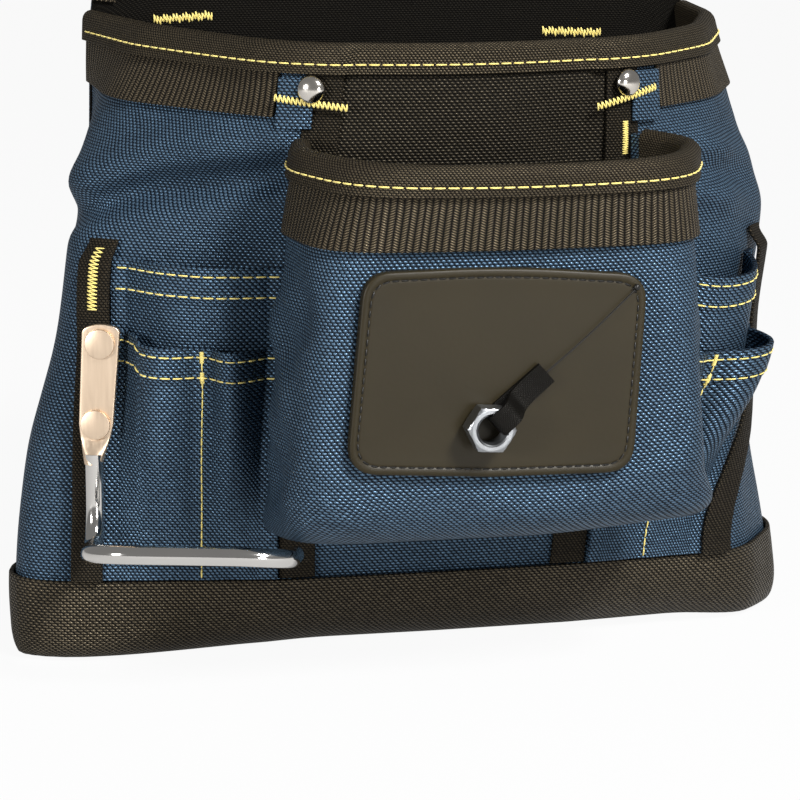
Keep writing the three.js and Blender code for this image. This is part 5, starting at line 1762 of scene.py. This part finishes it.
# %% [markdown]
# The rims and the patch have one row each. A row takes its line from the same functions as the tape or
# groove that it is sewn through, and lies just above it.

# %% Rim and patch rows
STITCH_DROP = 6.6
ON_CLOTH = 0.1
rim_row = np.linspace(-0.985, 0.985, 400)
rim_row_z = rim_height(rim_row) - STITCH_DROP
running("rim_stitching", wall(rim_row, rim_row_z, rim_tape_out(rim_row) + BIND / 2 + ON_CLOTH),
        normal_at(rim_row, rim_row_z))

front_row = np.linspace(-0.94, 0.94, 300)
front_line = pocket(front_row, pocket_rim(front_row) - STITCH_DROP, 2 * POCKET_GAP + TAPE + BIND + ON_CLOTH)
running("front_stitching", front_line, outward_of(front_line))

groove_ring = patch_ring(GROOVE)
patch_line = patch_place(np.concatenate([groove_ring, groove_ring[:1]]), 0.12)
running("patch_stitching", patch_line, np.tile(out_way, (len(patch_line), 1)), stitch=2.6, gap=0.5, lift=0.2,
        sink=0.3, thread=dark_thread)

# %% [markdown]
# Each sleeve's hem has two rows, and the divider is one row up the middle with a small bar tack where it
# crosses each hem row.

# %% Sleeve rows
HEM_ROWS = (3.2, 10.4)
HEM_RADIUS = 0.27
DIVIDER_TACK = np.linspace(-1.8, 1.8, 8)


def hem_rows(pair, layer):
    """Two rows of running stitches below a mouth."""
    c = np.linspace(0.03, 0.97, 160)
    for row, drop in enumerate(HEM_ROWS, start=1):
        line = pair.place(layer, c, pair.mouth(layer, c) - drop, 0.05)
        running(f"{pair.side}_{LAYERS[layer]}_hem_{row}", line, outward_of(line), radius=HEM_RADIUS)


def divider_rows(pair):
    """The divider's row of stitches, and a tack at each hem row."""
    top = pair.mouth(1, np.array(pair.divide))
    z = np.linspace(STRAP_FOOT + 1, top - 1, 120)
    c = np.full_like(z, pair.divide)
    running(f"{pair.side}_divider", pair.place(1, c, z, 0.05), normal_at(pair.share(c, z), z), stitch=3.2,
            gap=0.2, radius=HEM_RADIUS, sink=0.1)
    for row, drop in enumerate(HEM_ROWS, start=1):
        z = top - drop + DIVIDER_TACK
        sides = [pair.place(1, np.full_like(z, pair.divide + aside), z, 0.15) for aside in (-0.012, 0.012)]
        zigzag(f"{pair.side}_divider_tack_{row}", *sides, normal_at(pair.share(pair.divide, z), z), 0.24)


for pair in (left_sleeves, right_sleeves):
    for layer in range(len(LAYERS)):
        hem_rows(pair, layer)
    divider_rows(pair)

# %% [markdown]
# A bar tack is a dense zigzag that takes the strain at the end of a strap or a seam: under the two domed
# rivets, at the top of the hammer strap, beside the front pocket, and inside the back where the belt
# loops are sewn on.

# %% Bar tacks
TACK_STEPS = 17
RIM_TACKS = {"left": (196.9, 3.0), "right": (196.5, -5.5)}
RIM_TACK_HALF = 11.5
RIM_TACK_OUT = ON_TABS + 0.2
TACK_HALF = 1.3
TACK_RAISE = 0.15
LOOP_TACKS = {"left": (-88.0, -67.0, 217.0, 0.06), "right": (57.0, 79.0, 210.5, -0.05)}
LOOP_TACK_HALF = 1.5


def rim_tack(side, height, tilt):
    """A slanted tack across a tab, below its rivet."""
    reach = np.linspace(-1, 1, TACK_STEPS)
    level = np.full(TACK_STEPS, height)
    share = DOME_SHARES[side] + share_of(RIM_TACK_HALF * reach, DOME_SHARES[side], level)
    z = height - tilt * reach / 2
    sides = [wall(share, z + up, RIM_TACK_OUT) for up in (-TACK_HALF, TACK_HALF)]
    zigzag(f"{side}_rim_tack", *sides, normal_at(share, level))


def upright_tack(name, line, z, half_width, out, radius):
    """A tack up a line on the main wall, at a distance out for each height."""
    share = line(z)
    sides = [wall(share + way * share_of(half_width, share, z), z, out + TACK_RAISE) for way in (-1, 1)]
    zigzag(name, *sides, normal_at(share, z), radius)


def loop_tack(side, start, end, height, slope):
    """A tack across the back's inner face, a little uneven, as sewn by hand."""
    x = np.linspace(start, end, 19)
    middle = height + slope * (x - start) + 0.5 * np.sin(x * 1.7)
    y = np.full_like(x, LINING_Y - 0.2)
    sides = [np.stack([x, y, middle + up], axis=1) for up in (-LOOP_TACK_HALF, LOOP_TACK_HALF)]
    zigzag(f"{side}_loop_tack", *sides, np.tile(out_way, (len(x), 1)), 0.27)


for side, tack in RIM_TACKS.items():
    rim_tack(side, *tack)
hammer_z = np.linspace(124.5, 145.0, TACK_STEPS)
hammer_out = over_sleeves(HAMMER_STRAP_TOP)(hammer_z) + TAPE
upright_tack("hammer_tack", hammer_line, hammer_z, half_width=1.6, out=hammer_out, radius=0.24)
seam_z = np.linspace(177.0, 188.0, 15)
tack_line = beside(seam_strap_right, 0.8)
tack_out = LAYER_GAP + TAPE + STRAP_FOLLOWS * main_folds(tack_line(seam_z), seam_z)
upright_tack("strap_tack", tack_line, seam_z, half_width=1.1, out=tack_out, radius=0.22)
for side, tack in LOOP_TACKS.items():
    loop_tack(side, *tack)

# %% [markdown]
# ## Studio
# Three lamps light the pouch: a key from the upper right, a fill from the left and a weak low one in
# front. They are fairly small, because dark cloth needs crisp glints on its threads to look woven. The
# floor is white to the camera and still takes a faint shadow, because its own colour is a small part of
# what the camera sees.


# %% Lamps
def soft_lamp(name, place, aim, size, power):
    """A square lamp at a place, aimed at a point; size in metres, power in watts."""
    data = bpy.data.lights.new(name, "AREA")
    data.size = size
    data.energy = power
    lamp = bpy.data.objects.new(name, data)
    lamp.location = place
    lamp.rotation_euler = (Vector(aim) - Vector(place)).to_track_quat("-Z", "Y").to_euler()
    bpy.context.scene.collection.objects.link(lamp)
    return lamp


AIM = (0.0, -0.05, 0.12)
soft_lamp("key", (0.65, -1.4, 1.35), AIM, 0.45, 64.0)
soft_lamp("left", (-1.6, -1.1, 0.5), AIM, 0.4, 22.0)
soft_lamp("front", (0.5, -1.9, 0.25), AIM, 0.4, 9.0)
print("lamps:", [lamp.name for lamp in bpy.data.lights])

# %% [markdown]
# A white world would flood the cloth with light. Light Path tells a shader who is looking: the camera
# sees white, a shine sees a share of it, and the pouch itself gets only a dim surround.

# %% World and floor
SHOWN_WHITE = 0.94
SURROUND = 0.05
SKY_SHINE = 0.2
FLOOR_SHINE = 0.3
FLOOR_GREY = (0.55, 0.55, 0.55, 1.0)
FLOOR_HALF = 40.0
FLOOR_Z = -0.0005
WHITE = (1.0, 1.0, 1.0, 1.0)


def seen_directly(wire, in_mirror):
    """1 for what the camera sees directly or through glass, a lower share in a shine, else 0."""
    path = wire.node("ShaderNodeLightPath")
    seen = path.math("MAXIMUM", path.other("Is Camera Ray"), path.other("Is Transmission Ray"))
    return path.math("MAXIMUM", seen, path.other("Is Glossy Ray") * in_mirror)


world = bpy.data.worlds.new("studio")
world.use_nodes = True
bpy.context.scene.world = world
sky = Wire(world.node_tree)
background = world.node_tree.nodes["Background"]
background.inputs["Color"].default_value = WHITE
feed(SURROUND + (1.0 - SURROUND) * seen_directly(sky, SKY_SHINE), background, "Strength")

floor_finish, floor_wire, floor_shader = finish_of("pale_floor", Roughness=0.9, Specular_IOR_Level=0.0)
floor_shader.inputs["Base Color"].default_value = FLOOR_GREY
glow = floor_wire.node("ShaderNodeEmission", inputs={"Color": WHITE, "Strength": 1.0})
grey = Wire(floor_wire.tree, floor_shader.outputs[0])
shown = seen_directly(floor_wire, FLOOR_SHINE) * SHOWN_WHITE
blend = floor_wire.node("ShaderNodeMixShader", inputs={0: shown, 1: grey, 2: glow})
feed(blend, floor_wire.tree.nodes["Material Output"], "Surface")

floor_data = bpy.data.meshes.new("floor")
floor_signs = ((-1, -1), (1, -1), (1, 1), (-1, 1))
floor_corners = [(FLOOR_HALF * x, FLOOR_HALF * y, FLOOR_Z) for x, y in floor_signs]
floor_data.from_pydata(floor_corners, [], [(0, 1, 2, 3)])
floor_data.materials.append(floor_finish)
floor = bpy.data.objects.new("floor", floor_data)
bpy.context.scene.collection.objects.link(floor)

bpy.context.scene.view_settings.view_transform = "Standard"
print("studio ready")
